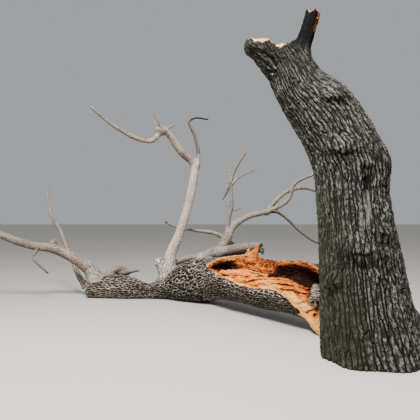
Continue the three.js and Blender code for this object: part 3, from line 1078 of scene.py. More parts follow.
@dataclass(frozen=True)
class BarkFinish:
    """Bark: dark furrows, grey crests, lichen and weathering, drawn on the same ridges as the relief, with
    painted shade in crevices.
    """

    name: str
    relief: BarkRelief
    furrow: Colour
    middle: Colour
    crest: Colour
    moss: Colour = (58, 62, 36)
    warm: Colour = (91, 75, 61)
    speckle: float = 0.7
    streakiness: float = 0.35
    fine_lift: float = 0.0
    bump: float = 0.6
    grain_scale: Triple = (95.0, 95.0, 30.0)
    streak_scale: Triple = (16.0, 16.0, 2.2)
    crevice_shade: float = 0.75

    def build(self) -> bpy.types.Material:
        """Makes the material."""
        material, g = new_shader(self.name)
        r = self.relief
        step = tuple(part * r.seed for part in SEED_STEP)
        grain, front, rear = (
            g.vector("ADD", g.read(name, "Vector"), step) for name in ("grain", "front", "rear")
        )
        pattern = (g.read("gnarl"), r.spacing, r.stretch, r.fine_spacing, r.warp, r.net)
        coarse, small = seamless_heights(g, front, rear, g.read("turn"), *pattern)
        fine = g.read("fine")
        relief = g.mix(g.read("calm"), CALM_HEIGHT, g.mix(fine, coarse, small))
        speck = g.noise(grain, self.grain_scale, 5.0, 0.68)
        streak = g.noise(grain, self.streak_scale, 3.0, 0.6)
        patch = g.noise(g.node("ShaderNodeTexCoord").outputs["Object"], 4.0, 4.0, 0.6)
        height = g.plus(relief, g.times(g.minus(speck, 0.5), self.speckle))
        height = g.plus(height, g.times(g.minus(streak, 0.5), self.streakiness), True)
        lifted = g.plus(self.fine_lift, g.times(height, 1.0 - self.fine_lift))
        height = g.mix(fine, height, lifted)
        base = g.ramp(height, (0.05, self.furrow), (0.45, self.middle), (0.95, self.crest))
        warm = g.blend(g.smooth(patch, 0.5, 0.75, (0.0, 0.4)), base, linear(*self.warm), "OVERLAY")
        green = g.times(g.read("moss"), g.smooth(patch, 0.3, 0.6, (0.45, 1.0)), True)
        tinted = g.blend(g.times(green, g.smooth(height, 0.05, 0.5, (0.25, 0.8))), warm, linear(*self.moss))
        # Painted shade: crevices are darkened, and tone brings in each piece's painted light and shade as
        # well as its own paler and darker bark
        open_share = g.minus(1.0, g.times(g.read("crevice"), self.crevice_shade))
        bright = g.times(g.plus(1.0, g.read("tone")), open_share)
        grey = g.fed("ShaderNodeCombineColor", {0: bright, 1: bright, 2: bright}).outputs[0]
        colour = g.blend(1.0, tinted, grey, "MULTIPLY")
        bumps = g.plus(g.times(relief, 0.7), g.times(speck, 0.6))
        finish_shader(g, colour, bumps, self.bump, 0.016, 0.92, 0.18)
        return material


@dataclass(frozen=True)
class TornFinish:
    """Torn heartwood: pale sapwood, orange fibres and rust-brown rot, with painted shade deep in the hollows
    and in crevices.
    """

    name: str = "broken_wood"
    pale: Colour = (255, 198, 116)
    orange: Colour = (250, 136, 44)
    streak: Colour = (112, 42, 10)
    rot: Colour = (120, 46, 16)
    # Nearly black: the darkest rot, and the painted shade deep in the hollows and crevices
    deep: Colour = (30, 8, 3)
    yellow: Colour = (224, 160, 78)
    grey: Colour = (92, 92, 84)
    thread_scale: Triple = (120.0, 120.0, 5.0)
    lump_scale: Triple = (38.0, 38.0, 24.0)
    contrast: float = 0.55

    def build(self) -> bpy.types.Material:
        """Makes the material."""
        material, g = new_shader(self.name)
        rot, tone, crevice = g.read("rot"), g.read("tone"), g.read("crevice")
        grain, relief = g.read("grain", "Vector"), g.times(g.read("relief"), self.contrast)
        thread, lump = g.noise(grain, self.thread_scale, 5.0, 0.7), g.noise(grain, self.lump_scale, 4.0, 0.65)
        # Crevices are painted darker here, as painted shade
        mark = g.minus(g.plus(g.times(thread, self.contrast), relief), g.times(crevice, 0.3), True)
        sound = g.ramp(mark, (0.42, self.streak), (0.53, self.orange), (0.68, self.pale))
        pale = g.ramp(mark, (0.36, self.orange), (0.47, self.pale))
        sound = g.blend(g.smooth(tone, 0.0, 0.9), sound, pale)
        rusty = g.plus(g.times(lump, self.contrast), relief, True)
        spent = g.ramp(rusty, (0.42, self.deep), (0.53, self.rot), (0.72, self.orange))
        mixed = g.blend(g.math("MINIMUM", rot, 1.0), sound, spent)
        rim = g.times(g.smooth(g.times(tone, -1.0), 0.0, 1.0), g.smooth(lump, 0.35, 0.6, (0.25, 1.0)))
        aged = g.times(g.read("moss"), g.smooth(thread, 0.3, 0.65, (0.5, 1.0)))
        # Rot above 1 goes nearly black: painted shade deep in the hollows, and the crumbly rim top's own dark
        # wood; deep crevices go nearly black as painted shade
        for share, colour in (
            (rim, self.yellow),
            (aged, self.grey),
            (g.smooth(rot, 1.0, 2.0, (0.0, 0.85)), self.deep),
            (g.smooth(crevice, 0.35, 1.0, (0.0, 0.9)), self.deep),
        ):
            mixed = g.blend(share, mixed, linear(*colour))
        finish_shader(g, mixed, g.mix(rot, thread, lump), 0.6, 0.012, 0.85, 0.2)
        return material


# Pieces


@dataclass
class Kit:
    """What every sub-assembly finishes its meshes with."""

    relief: NodeRig
    splinters: NodeRig
    barks: dict[Surface, BarkRelief]
    materials: dict[Surface, bpy.types.Material]

    def keep(self, piece: Thing, surface: Surface, *replaced: str) -> None:
        """Puts a finished piece on the frame and reports it."""
        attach(piece, "root")
        if replaced:
            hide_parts(*replaced)
        piece.data.calc_loop_triangles()
        log.info("%s: %d triangles", piece.name, len(piece.data.loop_triangles))

    def finish(self, piece: Thing, surface: Surface, *replaced: str) -> Thing:
        """Raises a bark's relief on a piece and keeps it.

        Args:
            piece: object with the bark attributes.
            surface: which bark it wears; its torn faces wear broken wood.
            replaced: the frame's nodes that it stands for.

        Returns:
            The same object.
        """
        materials = {"Bark": self.materials[surface], "Wood": self.materials[Surface.WOOD]}
        self.relief.run(piece, settings(self.barks[surface]) | materials)
        self.keep(piece, surface, *replaced)
        return piece


def barked(name: str, grid: Grid, axes: Sequence[Axis]) -> tuple[Skin, Array, Array]:
    """A grid's surface with bark coordinates, crevices and torn faces marked.

    Args:
        name: object name.
        grid: the finished block.
        axes: centre lines that the bark follows.

    Returns:
        The skin, its points and how close each is to a seam between limbs.
    """
    points, quads = largest_island(*grid.surface())
    places = straighten(points, axes)
    inside = grid.sample(grid.skin, points) / grid.voxel
    skin = Skin(name, points, quads)
    places.store(skin)
    skin.numbers(
        wood=1 - ease(-1.6, -0.9, inside),
        # Crevice depth, which the finishes darken as painted shade
        crevice=crevices(grid, points),
        splinter=ease(-0.07, -0.04, inside * grid.voxel) * ease(-1.5, -2.2, inside),
    )
    return skin, points, places.seam


@dataclass(frozen=True)
class Fold:
    """An overhanging fold of bark: middle, height of its edge, half width and how far it stands out."""

    middle: float
    edge: float
    half: float
    size: float

    def above(self, x: Array, z: Array) -> Array:
        """Height above the fold's scalloped lower edge."""
        across = (x - self.middle) / self.half
        return z - (self.edge - 0.12 * self.half * np.cos(2.2 * across) + 0.012 * np.abs(np.sin(7 * across)))

    def share(self, x: Array, y: Array) -> Array:
        """How much of the fold there is across the trunk, 0 to 1."""
        return np.exp(-(((x - self.middle) / self.half) ** 2) * 1.5) * (y < 0)


@dataclass
class StandingStem:
    """The leaning stem that still stands, with its broken top, two stubs and burls."""

    voxel: float = 0.0131
    low: Triple = (-1.72, -0.72, -0.04)
    high: Triple = (0.72, 0.72, 4.08)
    trunk: Limb = Limb(
        (0, 0, 0),
        (
            (450, 180, 79), (575, 180, 83), (450, 180, 83), (360, 180, 83), (400, 180, 85), (320, 180, 68),
            (365, 180, 58), (338, 180, 47), (322, 180, 60.5), (215, 180, 58), (145, 180, 64),
        ),
        (580, 525, 470, 430, 402, 416, 396, 378, 300, 260, 260, 255),
    )
    left_stub: Limb = Limb((-1120, 0, 3370), ((200, 180, 38), (130, 180, 30)), (160, 122, 96))
    stub_knob: Lump = ((-1.39, 0, 3.57), (0.095, 0.115, 0.10))
    top_stub: Limb = Limb((-862, 0, 3400), ((200, 0, 77), (190, 0, 73), (245, 0, 74)), (116, 94, 85, 82))
    hole: Limb = Limb((-212, -440, 1935), ((110, 90, 68),), (25, 19))
    break_slope: float = 0.34
    tip_rise: float = 0.8
    tip_fall: float = 0.75
    flare: float = 0.03
    burls: tuple[Lump, ...] = (
        ((-0.45, -0.33, 2.375), (0.17, 0.09, 0.095)),
        ((-0.60, -0.25, 2.950), (0.15, 0.10, 0.09)),
        ((0.04, -0.06, 2.210), (0.09, 0.21, 0.17)),
        ((-0.235, -0.415, 1.235), (0.18, 0.07, 0.055)),
        ((-0.04, -0.40, 1.440), (0.075, 0.045, 0.05)),
        ((-0.25, -0.45, 1.205), (0.05, 0.045, 0.045)),
        ((-0.56, -0.30, 0.930), (0.07, 0.075, 0.06)),
    )
    large_burl: float = 0.08
    folds: tuple[Fold, ...] = (
        Fold(-0.27, 1.255, 0.2, 0.07),
        Fold(-0.035, 1.445, 0.08, 0.06),
        Fold(-0.46, 2.33, 0.19, 0.05),
        Fold(-0.55, 2.9, 0.12, 0.055),
        Fold(-0.2, 2.165, 0.09, 0.04),
    )
    break_line: tuple[Pair, ...] = (
        (-1.80, 3.64), (-1.42, 3.655), (-1.32, 3.635), (-1.235, 3.63), (-1.16, 3.585), (-1.10, 3.575),
        (-1.0, 3.58), (-0.93, 3.60), (-0.50, 3.62),
    )

    def swelling(self, x: Array, y: Array, z: Array) -> Array:
        """Root flare flutes and the overhanging folds of bark on the near face."""
        extra = self.flare * np.exp(-np.maximum(z, 0) / 0.45) * np.cos(6 * np.arctan2(y, x) + 1)
        for fold in self.folds:
            above = fold.above(x, z)
            rise = ease(-0.012, 0.018, above) * (1 - ease(0.0, 1.3 * fold.half + 0.05, above))
            extra = extra + fold.size * fold.share(x, y) * rise
        return extra

    def broken(self, points: Array) -> Array:
        """Distance into the space above the ragged break."""
        edge = rows(self.break_line, points[:, 0])
        jag = layered_noise(points * np.array([1, 1, 0.25]), (16, 16, 6), 5)
        slope = self.break_slope * points[:, 1] * ease(-0.9, -1.05, points[:, 0])
        return (edge + slope + 0.03 * jag - points[:, 2]) * 0.8

    def shape(self, trunk: Axis, left: Axis, top: Axis, hole: Axis) -> Grid:
        """The solid, with its torn top, forked stub tip and knothole."""
        grid = Grid(self.low, self.high, self.voxel)
        grid.add_axis(trunk, 0.01, self.swelling)
        grid.add_axis(left, 0.10)
        grid.add_lump(*self.stub_knob, 0.05)
        for burl in self.burls:
            grid.add_lump(*burl, 0.09)
        grid.remember_skin()
        grid.carve(self.broken, (-1.8, -0.7, 3.3), (-0.3, 0.7, 4.1))
        snag = grid.blank()
        snag.add_axis(top, 0.0, flat=(False, True))
        grid.merge(snag, 0.07)
        tip, way = top.at(top.run[-1])

        def forked(points: Array) -> Array:
            """Distance into the space above the stub's forked tip."""
            side, back, _ = (points - tip).T
            jag = 0.04 * layered_noise(points, (13, 13, 6), 25)
            return jag - self.tip_fall * np.abs(side - 0.015) + self.tip_rise * back - (points - tip) @ way

        grid.carve(forked, tip - 0.3, tip + 0.3)
        grid.carve(lambda points: hole.near(points)[0], (-0.35, -0.55, 1.85), (-0.1, -0.25, 2.15))
        grid.above_ground()
        return grid

    def paint(self, skin: Skin, seam: Array, grid: Grid, top: Axis, hole: Axis) -> None:
        """Marks torn wood, swirls round burls and moss, and paints light and shade: paler bark between about
        1.3 and 3.1 m up, and shade on the lower left side, in the knothole and beneath the folds' edges.

        Args:
            skin: the mesh.
            seam: how close its points are to a seam.
            grid: the block it comes from.
            top: centre line of the upper stub.
            hole: centre line of the knothole.
        """
        x, y, z = skin.points.T
        pale_seam = np.exp(-(((x + 0.185) / 0.03) ** 2)) * ease(1.52, 1.6, z) * ease(1.95, 1.86, z) * (y < 0)
        gnarl = 0.6 * seam
        for burl in self.burls:
            share = 1.0 if min(burl[1]) > self.large_burl else 0.25
            gnarl = np.maximum(gnarl, share * ease(2.1, 0.9, from_middle(skin.points, burl)))
        stub_side = x - np.interp(z, top.points[:, 2], top.points[:, 0])
        rusty = ease(0.052, 0.066, stub_side) * ease(3.7, 3.75, z) * (x > -1.0)
        in_hole = hole.near(skin.points)[0] < 0.02
        wood = 1 - ease(-1.6, -0.9, grid.sample(grid.skin, skin.points) / self.voxel)
        below_tip = (x > -1.02) & (z > 3.0) & (z < top.points[-1, 2] - 0.25)
        wood = np.where(in_hole, 0.0, np.maximum(np.where(below_tip, 0.0, wood), rusty))
        weathered = ease(-1.0, -0.9, x)
        # Moss on the lower left side, which is also painted darker there as painted shade
        moss_and_shade_left = ease(0.0, 0.42, -(x + 0.2 * z - 0.05)) * (1 - 0.8 * ease(1.4, 2.4, z))
        high = ease(2.9, 3.4, z)
        dark_top = ease(3.42, 3.66, z) * ease(-1.1, -0.98, x)
        moss = np.maximum.reduce([0.9 * moss_and_shade_left, 0.3 * high, 0.5 * dark_top])
        # Painted light: the bark is painted paler between about 1.3 and 3.1 m up
        lit = 0.07 * ease(1.3, 2.3, z) * ease(3.1, 2.7, z)
        # Painted shade in the knothole and in a thin band beneath each fold's lower edge
        shade = 0.9 * in_hole
        for fold in self.folds:
            above = fold.above(x, z)
            under = 0.85 * fold.share(x, y) * ease(-0.045, -0.015, above) * ease(0.006, -0.006, above)
            shade = np.maximum(shade, under)
        tone = 0.9 * pale_seam - 0.6 * dark_top + lit - 0.3 * moss_and_shade_left - 0.3 * high - 0.08
        torn = wood > 0.5
        skin.numbers(
            wood=wood,
            rot=0.1 + 1.4 * rusty,
            moss=np.where(torn, weathered * (1 - rusty), moss),
            tone=np.where(torn, 0.65 * (1 - weathered), (1 + tone) * (1 - shade) - 1),
            calm=1 - 0.9 * pale_seam,
            fine=0.4 * ease(3.4, 3.6, z),
            gnarl=gnarl,
        )

    def build(self, kit: Kit) -> None:
        """Builds and dresses the stem."""
        limbs = (self.trunk, self.left_stub, self.top_stub, self.hole)
        trunk, left, top, hole = (limb.axis() for limb in limbs)
        grid = self.shape(trunk, left, top, hole)
        skin, _, seam = barked("standing_stem", grid, [trunk, left, top])
        self.paint(skin, seam, grid, top, hole)
        replaced = ("standing_trunk", "standing_left_stub", "standing_top_stub")
        piece = kit.finish(skin.build(), Surface.TRUNK, *replaced)
        Splinters(density=1200.0, length=0.02, lift=0.1).grow(kit, piece, "break_splinters")


# The fallen stem

FALLEN_BUTT = Limb(
    (-200, 1420, 515),
    ((310, 135, 3), (420, 125, 2), (590, 120, -3), (650, 125, 2), (660, 120, -5), (540, 135, -8)),
    (390, 400, 392, 395, 400, 378, 385),
)
FALLEN_TRUNK = Limb(
    (-1960, 3890, 420),
    ((370, 145, -10), (410, 152, -14), (460, 168, -15), (470, 178, 10), (460, 172, 0), (310, 175, -6)),
    (388, 378, 240, 145, 218, 224, 180),
)
UPRIGHT_BOUGH = Limb(
    (-2710, 4380, 290),
    ((290, 55, 85), (280, 20, 78), (370, 20, 66), (480, 20, 71), (550, 30, 75), (480, 60, 75)),
    (185, 160, 98, 86, 80, 80, 70),
)
LEFT_BOUGH = Limb(
    (-4010, 4500, 280),
    (
        (330, 185, 51), (290, 190, 39), (350, 190, 29), (240, 205, 21), (270, 200, 8),
        (320, 200, 17), (350, 200, 23), (390, 195, 16),
    ),
    (152, 124, 106, 92, 84, 76, 72, 67, 58),
)
HOOKED_BOUGH = Limb((-3900, 4550, 310), ((210, 30, 61), (150, 20, 22), (190, 15, -22)), (100, 84, 66))
REAR_LEFT = Limb(
    (-4370, 4800, 100),
    ((370, 150, 56), (770, 155, 62), (260, 140, 57), (350, 165, 56), (320, 130, 65), (380, 125, 72)),
    (56, 45, 34, 27, 20),
)
SADDLE_LOG = Limb((-1850, 4150, 870), ((230, 350, 9), (550, 330, 11), (230, 330, 3)), (120, 105, 92))
ARC_BOUGH = Limb(
    (-1720, 4150, 850),
    ((350, 25, 62), (260, 35, 57), (240, 20, 35), (210, 15, 23), (390, 20, 11)),
    (108, 90, 67, 57, 52, 50),
)
LOW_LIMB = Limb((-1750, 4220, 940), ((220, 155, -28), (510, 150, -11), (280, 170, -21)), (62, 56, 56))
SEAM = 2.98
OVERLAP = 0.015


def rows(table: Sequence[Pair], at: Array | float) -> Array:
    """A table of (place, value) read at places."""
    return np.interp(at, *np.array(table).T)


@dataclass
class AroundButt:
    """Where points lie round the butt.

    run, angle in degrees and out, the distance from the axis, are straightened places; radius is the butt's
    own there. share is 0 at the wound's lower rim and 1 at the upper; low and high are the rims' angles.
    """

    run: Array
    angle: Array
    out: Array
    radius: Array
    share: Array
    low: Array
    high: Array


@dataclass
class TornButt:
    """The fallen stem's butt: laid open by a long wound, hollow, and tied to the root crown by a pale strip.

    Angles are degrees above the visible side. Rims and bands are tables of run and angle.
    """

    voxel: float = 0.013
    lower_rim: tuple[Pair, ...] = (
        (-0.3, -95), (0.12, -88), (0.2, -68), (0.31, -39), (0.41, -20), (0.61, -7), (0.83, -4), (1.26, -8),
        (1.69, -5), (1.96, 2), (2.19, 12), (2.42, 18), (2.56, 23), (2.66, 30),
    )
    upper_rim: tuple[Pair, ...] = (
        (-0.3, 56), (0.10, 58), (0.28, 73), (0.45, 88), (0.58, 95), (1.29, 97), (1.55, 101), (1.80, 99),
        (1.97, 95), (2.19, 74), (2.42, 62), (2.56, 55), (2.66, 47),
    )
    wound_depth: tuple[Pair, ...] = (
        (0, 0.0), (0.06, 0.035), (0.16, 0.055), (0.3, 0.10), (0.5, 0.165), (0.72, 0.205), (0.88, 0.19),
        (0.955, 0.12), (1, 0.0),
    )
    wound_end: float = 2.66
    # Each hollow's knots are run, angle, distance from the axis and radius
    hollows: tuple = (
        ((-0.25, 70, 0.19, 0.135), (0.25, 75, 0.21, 0.155), (0.62, 79, 0.215, 0.16), (1.0, 74, 0.20, 0.12)),
        ((1.95, 56, 0.26, 0.04), (2.15, 49, 0.24, 0.10), (2.36, 43, 0.25, 0.115), (2.54, 40, 0.28, 0.075)),
        ((1.60, 84, 0.34, 0.03), (1.78, 83, 0.315, 0.055), (1.98, 76, 0.32, 0.045)),
    )
    # The last hollow is a shallow groove that stays sound
    dark_hollows: int = 2
    # Each spike is run, angle, height and radius
    spikes: tuple = (
        (1.80, 100, 0.20, 0.075),
        (1.76, 97, 0.17, 0.06),
        (1.93, 96, 0.13, 0.06),
        (1.86, 97, 0.10, 0.08),
    )
    rim_start: float = 1.95
    rim_lumps: int = 15
    rim_seed: int = 12
    end_lumps: tuple[float, ...] = (29, 36, 43)
    ring: tuple[Pair, ...] = ((0.12, 66), (0.3, 80), (0.55, 95), (0.8, 99), (1.0, 96))
    ring_lumps: int = 13
    pale_edge: tuple[Pair, ...] = (
        (-0.4, -80), (0.0, -72), (0.09, -57), (0.15, -36), (0.21, -25), (0.29, -12), (0.40, 0), (0.5, 8),
        (0.75, 9), (1.0, 2), (1.2, -3), (1.7, -1), (2.2, 16), (2.6, 29),
    )
    crack_run: float = 0.51
    loose_bark: tuple[Lump, ...] = (
        ((-0.42, 1.34, 0.56), (0.08, 0.05, 0.13)),
        ((-0.49, 1.35, 0.45), (0.03, 0.035, 0.05)),
        ((-0.43, 1.34, 0.38), (0.035, 0.035, 0.05)),
    )
    strip: Limb = Limb(
        (-840, 2100, 530),
        ((450, 300, -22), (360, 295, -22), (340, 300, -30), (330, 335, -6)),
        (88, 90, 88, 82, 55),
    )
    strip_thickness: float = 0.04

    def spot(self, axis: Axis, run: float, angle: float, out: float) -> Array:
        """Place beside the axis at a run, an angle above the visible side, and a distance."""
        i = int(np.clip(np.searchsorted(axis.run, run), 0, len(axis.run) - 1))
        inside = min(max(run, 0), axis.run[-1])
        place, way = axis.at(inside)
        a = math.radians(angle)
        return place + way * (run - inside) + out * (math.cos(a) * axis.sides[i] + math.sin(a) * axis.ups[i])

    def around(self, axis: Axis, points: Array) -> AroundButt:
        """Where points lie."""
        side, up, run = axis.near(points)[1].T
        angle = np.degrees(np.arctan2(up, side))
        low = rows(self.lower_rim, run) + 1.6 * wander(run, 9, 21)
        high = rows(self.upper_rim, run) + 3.4 * wander(run, 7, 33)
        share = (angle - low) / np.maximum(high - low, 1.0)
        radius = np.interp(run, axis.run, axis.radii)
        return AroundButt(run, angle, np.hypot(side, up), radius, share, low, high)

    def wound(self, axis: Axis, points: Array) -> Array:
        """Distance into the torn-out space, with its long shell-like ledges."""
        at = self.around(axis, points)
        depth = rows(self.wound_depth, at.share) * (0.25 + 0.75 * ease(self.wound_end, 2.15, at.run))
        across = at.radius * np.radians(at.angle)
        flat = np.zeros(len(points))
        bend = layered_noise(np.stack([across * 2, at.run, flat], 1), (1.0, 1.6, 1.0), 3)
        step = 7.0 * across + 1.1 * at.run + 0.9 * bend
        saw = (step - np.floor(step)) ** 1.6
        fade = 0.55 + 0.45 * smooth_noise(np.stack([np.floor(step) * 3.1, at.run * 2.2, flat], 1), 41)
        fine = layered_noise(np.stack([across, at.run, at.out], 1), (26, 3.5, 10), 43)
        ledges = 0.075 * (saw - 0.4) * fade + 0.02 * fine
        depth = depth + ledges * ease(0.02, 0.16, at.share) * ease(1.0, 0.88, at.share)
        inner = (at.radius - depth) - at.out
        side = at.out * np.radians(np.maximum(at.low - at.angle, at.angle - at.high))
        return np.maximum(np.maximum(inner, side), at.run - self.wound_end)

    def hollow(self, axis: Axis, knots: Sequence[tuple]) -> Axis:
        """Centre line of a rotted hollow."""
        points = smooth_path(np.array([self.spot(axis, *knot[:3]) for knot in knots]), 8)
        shares = np.linspace(0, 1, len(points))
        radii = np.interp(shares, np.linspace(0, 1, len(knots)), [knot[3] for knot in knots])
        return Axis(points, radii, path_run(points))

    def ribbon(self, strip: Axis, points: Array) -> tuple[Array, Array]:
        """Distance to the strip's skin, and height above its middle."""
        side, up, run = strip.near(points)[1].T
        half = np.interp(run, strip.run, strip.radii)
        wave = wander(run, 5, 9)
        height = up + 0.35 * (side / half) ** 2 * 0.05
        gap = np.maximum(
            np.abs(side) - half * (1 + 0.06 * wave), np.abs(height) - (self.strip_thickness + 0.006 * wave)
        )
        return np.maximum(gap, np.maximum(-run, run - strip.run[-1])), height

    def carve(self, grid: Grid, axis: Axis, hollows: Sequence[Axis]) -> None:
        """Cuts the wound, the hollows and the open end."""
        box = ((-2.2, 0.7, 0.0), (0.4, 3.9, 1.2))
        coarse = FALLEN_BUTT.axis(0.15)
        grid.carve(lambda points: self.wound(coarse, points), *box)
        for number, line in enumerate(hollows):
            seed = 60 + number
            grid.carve(
                lambda points: line.near(points)[0] + 0.035 * layered_noise(points, (9, 9, 9), seed), *box
            )
        end, way = axis.at(0.0)
        grid.carve(
            lambda points: (points - end) @ way - 0.07 - 0.06 * layered_noise(points, (7, 7, 7), 71),
            (-1, 0.7, 0),
            (0.4, 2.2, 1.1),
        )

    def add_rim(self, grid: Grid, axis: Axis) -> None:
        """Adds the upright spikes and the crumbly lumps along the upper rim."""
        for run, angle, height, girth in self.spikes:
            foot = self.spot(axis, run, angle, 0.34)
            line = np.linspace(foot, self.spot(axis, run - 0.05, angle, 0.39 + height), 6)
            grid.add_axis(Axis(line, np.linspace(girth, 0.014, 6), path_run(line)), 0.05)
        rng = np.random.default_rng(self.rim_seed)
        for run in np.linspace(self.rim_start, self.wound_end, self.rim_lumps):
            size = rng.uniform(0.024, 0.05, 3)
            angle = rows(self.upper_rim, run) + rng.uniform(-5, 1)
            grid.add_lump(self.spot(axis, run, angle, rng.uniform(0.345, 0.38)), size, 0.012)
        for angle in self.end_lumps:
            grid.add_lump(self.spot(axis, self.wound_end + 0.03, angle, 0.37), (0.04, 0.04, 0.03), 0.012)
        for run in np.linspace(self.ring[0][0], self.ring[-1][0], self.ring_lumps):
            size = rng.uniform(0.022, 0.04, 3)
            angle = rows(self.ring, run) + rng.uniform(-2, 2)
            grid.add_lump(self.spot(axis, run, angle, rng.uniform(0.365, 0.385)), size, 0.02)

    def add_strip(self, grid: Grid, strip: Axis) -> None:
        """Adds the pale strip of sapwood."""
        window = grid.window(strip.points.min(0) - 0.16, strip.points.max(0) + 0.16)
        x, y, z = np.meshgrid(*[line.ravel() for line in grid.open_points(window)], indexing="ij")
        gap, _ = self.ribbon(strip, np.stack([x.ravel(), y.ravel(), z.ravel()], axis=1))
        grid.values[window] = soft_min(grid.values[window], gap.reshape(x.shape), 0.05)

    def build(self, kit: Kit) -> None:
        """Builds and dresses the butt."""
        grid = Grid((-2.45, 0.72, -0.03), (0.32, 4.15, 1.22), self.voxel)
        axis, beyond, strip = (limb.axis() for limb in (FALLEN_BUTT, FALLEN_TRUNK, self.strip))
        grid.add_axis(axis, 0.01, flat=(True, False))
        grid.add_axis(beyond.part(0, 0.9), 0.08)
        grid.remember_skin()
        hollows = [self.hollow(axis, knots) for knots in self.hollows]
        self.carve(grid, axis, hollows)
        self.add_rim(grid, axis)
        slabs = grid.blank()
        for slab in self.loose_bark:
            slabs.add_lump(*slab, 0.0)
        grid.values = np.minimum(grid.values, slabs.values)
        self.add_strip(grid, strip)
        grid.above_ground()
        grid.halve(*axis.at(SEAM + OVERLAP))
        skin, points, _ = barked("torn_butt", grid, [axis, beyond])
        self.paint(skin, self.around(axis, points), strip, hollows, grid, slabs)
        piece = kit.finish(skin.build(), Surface.FALLEN, "fallen_butt", "hinge_strip")
        Splinters().grow(kit, piece, "wound_splinters")

    def rotten(self, at: AroundButt, pale: Array, inside: Array, deep: Array) -> Array:
        """How far the torn wood has rotted, 0 sound, 1 rusty, 2 nearly black; the blackening deep in the
        hollows is painted shade.

        Args:
            at: where the points lie.
            pale: 0 on the pale sapwood below, 1 above it.
            inside: distance from the uncarved skin, below zero inside.
            deep: distance to the nearest hollow's skin.
        """
        rot = np.maximum(ease(0.07, -0.0, deep), 0.62 * ease(0.3, 0.75, at.share) * ease(1.75, 0.9, at.run))
        rot = np.maximum(rot, 0.4 * ease(0.85, 0.4, at.run) * pale)
        rot = np.maximum(rot, 0.6 * ease(0.58, 0.8, at.share) * ease(2.3, 2.0, at.run))
        # Painted shade: the wood deep inside the hollows is pushed towards nearly black
        rot = rot + 1.7 * ease(-0.04, -0.11, inside) * ease(0.06, 0.0, deep)
        rot = rot + 1.2 * ease(0.05, 0.0, deep) * ease(0.97, 0.72, at.out / at.radius)
        crumbly = ease(0.6, 0.75, at.share) * ease(0.5, 0.75, at.out / at.radius)
        return np.maximum(rot, 1.3 * crumbly * ease(1.7, 1.55, at.run) * ease(0.95, 1.1, at.run))

    def paint(
        self, skin: Skin, at: AroundButt, strip: Axis, hollows: Sequence[Axis], grid: Grid, slabs: Grid
    ) -> None:
        """Marks bark, sound wood, rot and pale sapwood, and paints shade on the butt's lower side and deep in
        the hollows.

        Args:
            skin: the mesh.
            at: where its points lie.
            strip: centre line of the pale strip.
            hollows: centre lines of the hollows.
            grid: the block it comes from.
            slabs: the block with the loose bark alone.
        """
        run, angle, share, low, points = at.run, at.angle, at.share, at.low, skin.points
        outward = at.out / at.radius
        inside = grid.sample(grid.skin, points)
        slab_gap = grid.sample(slabs.values, points)
        deep = np.minimum(*(line.near(points)[0] for line in hollows[: self.dark_hollows]))
        gap, height = self.ribbon(strip, points)
        on_strip = gap < 0.03
        on_spike = (outward > 0.93) & (angle > 34) & (angle < 125)
        on_spike = on_spike & (run > 1.6) & (run < 2.72) & (inside > -0.01)
        on_ring = (outward > 0.9) & (run > 0.0) & (run < 1.12) & (np.abs(angle - rows(self.ring, run)) < 4)
        wood = 1 - ease(-1.9, -1.0, inside / self.voxel)
        wood = np.where(on_strip, ease(-0.035, -0.015, height), wood)
        wood = np.where(on_spike, ease(at.high + 7, at.high + 3, angle), wood)
        wood = np.where(on_ring, 1.0, wood)
        wood = np.where(slab_gap < 0.006, 0.0, wood)
        bark = 1 - wood
        pale_edge = rows(self.pale_edge, run) + 2.5 * wander(run, 6, 53)
        pale = ease(pale_edge - 3, pale_edge + 3, angle)
        rot = np.where(on_ring, 0.15, self.rotten(at, pale, inside, deep))
        rot = np.where(on_strip, 0.5 * pale * ease(0.3, -0.1, run), rot)
        ragged = 0.75 + 0.5 * layered_noise(points, (9, 9, 9), 57)
        band = (1 - pale) * ease(-0.02, 0.05, share) * ragged
        mouth = ease(2.42, 2.5, run) * ease(0.9, 0.95, outward) * (share > -0.3) * (share < 1.3)
        rim = np.maximum(ease(0.80, 0.95, share) * ease(0.72, 0.9, outward), mouth)
        down = strip.near(points)[1][:, 2]
        fresh = 0.95 - 0.5 * ease(0.35, 0.85, down) + 0.45 * ease(1.0, 1.25, down)
        torn_tone = np.where(on_strip, fresh, 0.9 * band) - 0.95 * rim * ease(1.6, 1.95, run) * (1 - on_strip)
        # Painted shade on the bark of the butt's lower side
        under = ease(-5, -45, angle) * ease(2.7, 2.2, run)
        slab = ease(0.03, 0.01, slab_gap)
        cut_edge = ease(low - 6.5, low - 4.0, angle) * ease(low + 2, low, angle) * (run > 0.55)
        crack = ease(0.016, 0.006, np.abs(run - self.crack_run - 0.003 * (9 - angle)))
        crack = crack * (np.abs(angle - 1.5) < 8)
        # Painted shade deep inside the hollows, added to the crevices
        dark = 0.85 * ease(-0.04, -0.12, inside) * ease(0.05, 0.0, deep)
        skin.numbers(
            wood=wood,
            rot=rot,
            tone=wood * torn_tone + bark * (0.9 * slab + 1.3 * cut_edge - 0.42 * under),
            crevice=np.maximum.reduce([skin.read("crevice"), crack, dark]),
            # On the lower side moss is a green tint painted into that shade
            moss=0.5 * under * bark,
            calm=1.0 - 0.5 * slab,
            fine=0.0,
            gnarl=0.6 * ease(2.2, 2.7, run) * bark,
        )


@dataclass(frozen=True)
class Collar:
    """The foot of a bough, up to the run end, that the fallen stem's piece holds; blend is its fillet."""

    limb: Limb
    end: float
    blend: float


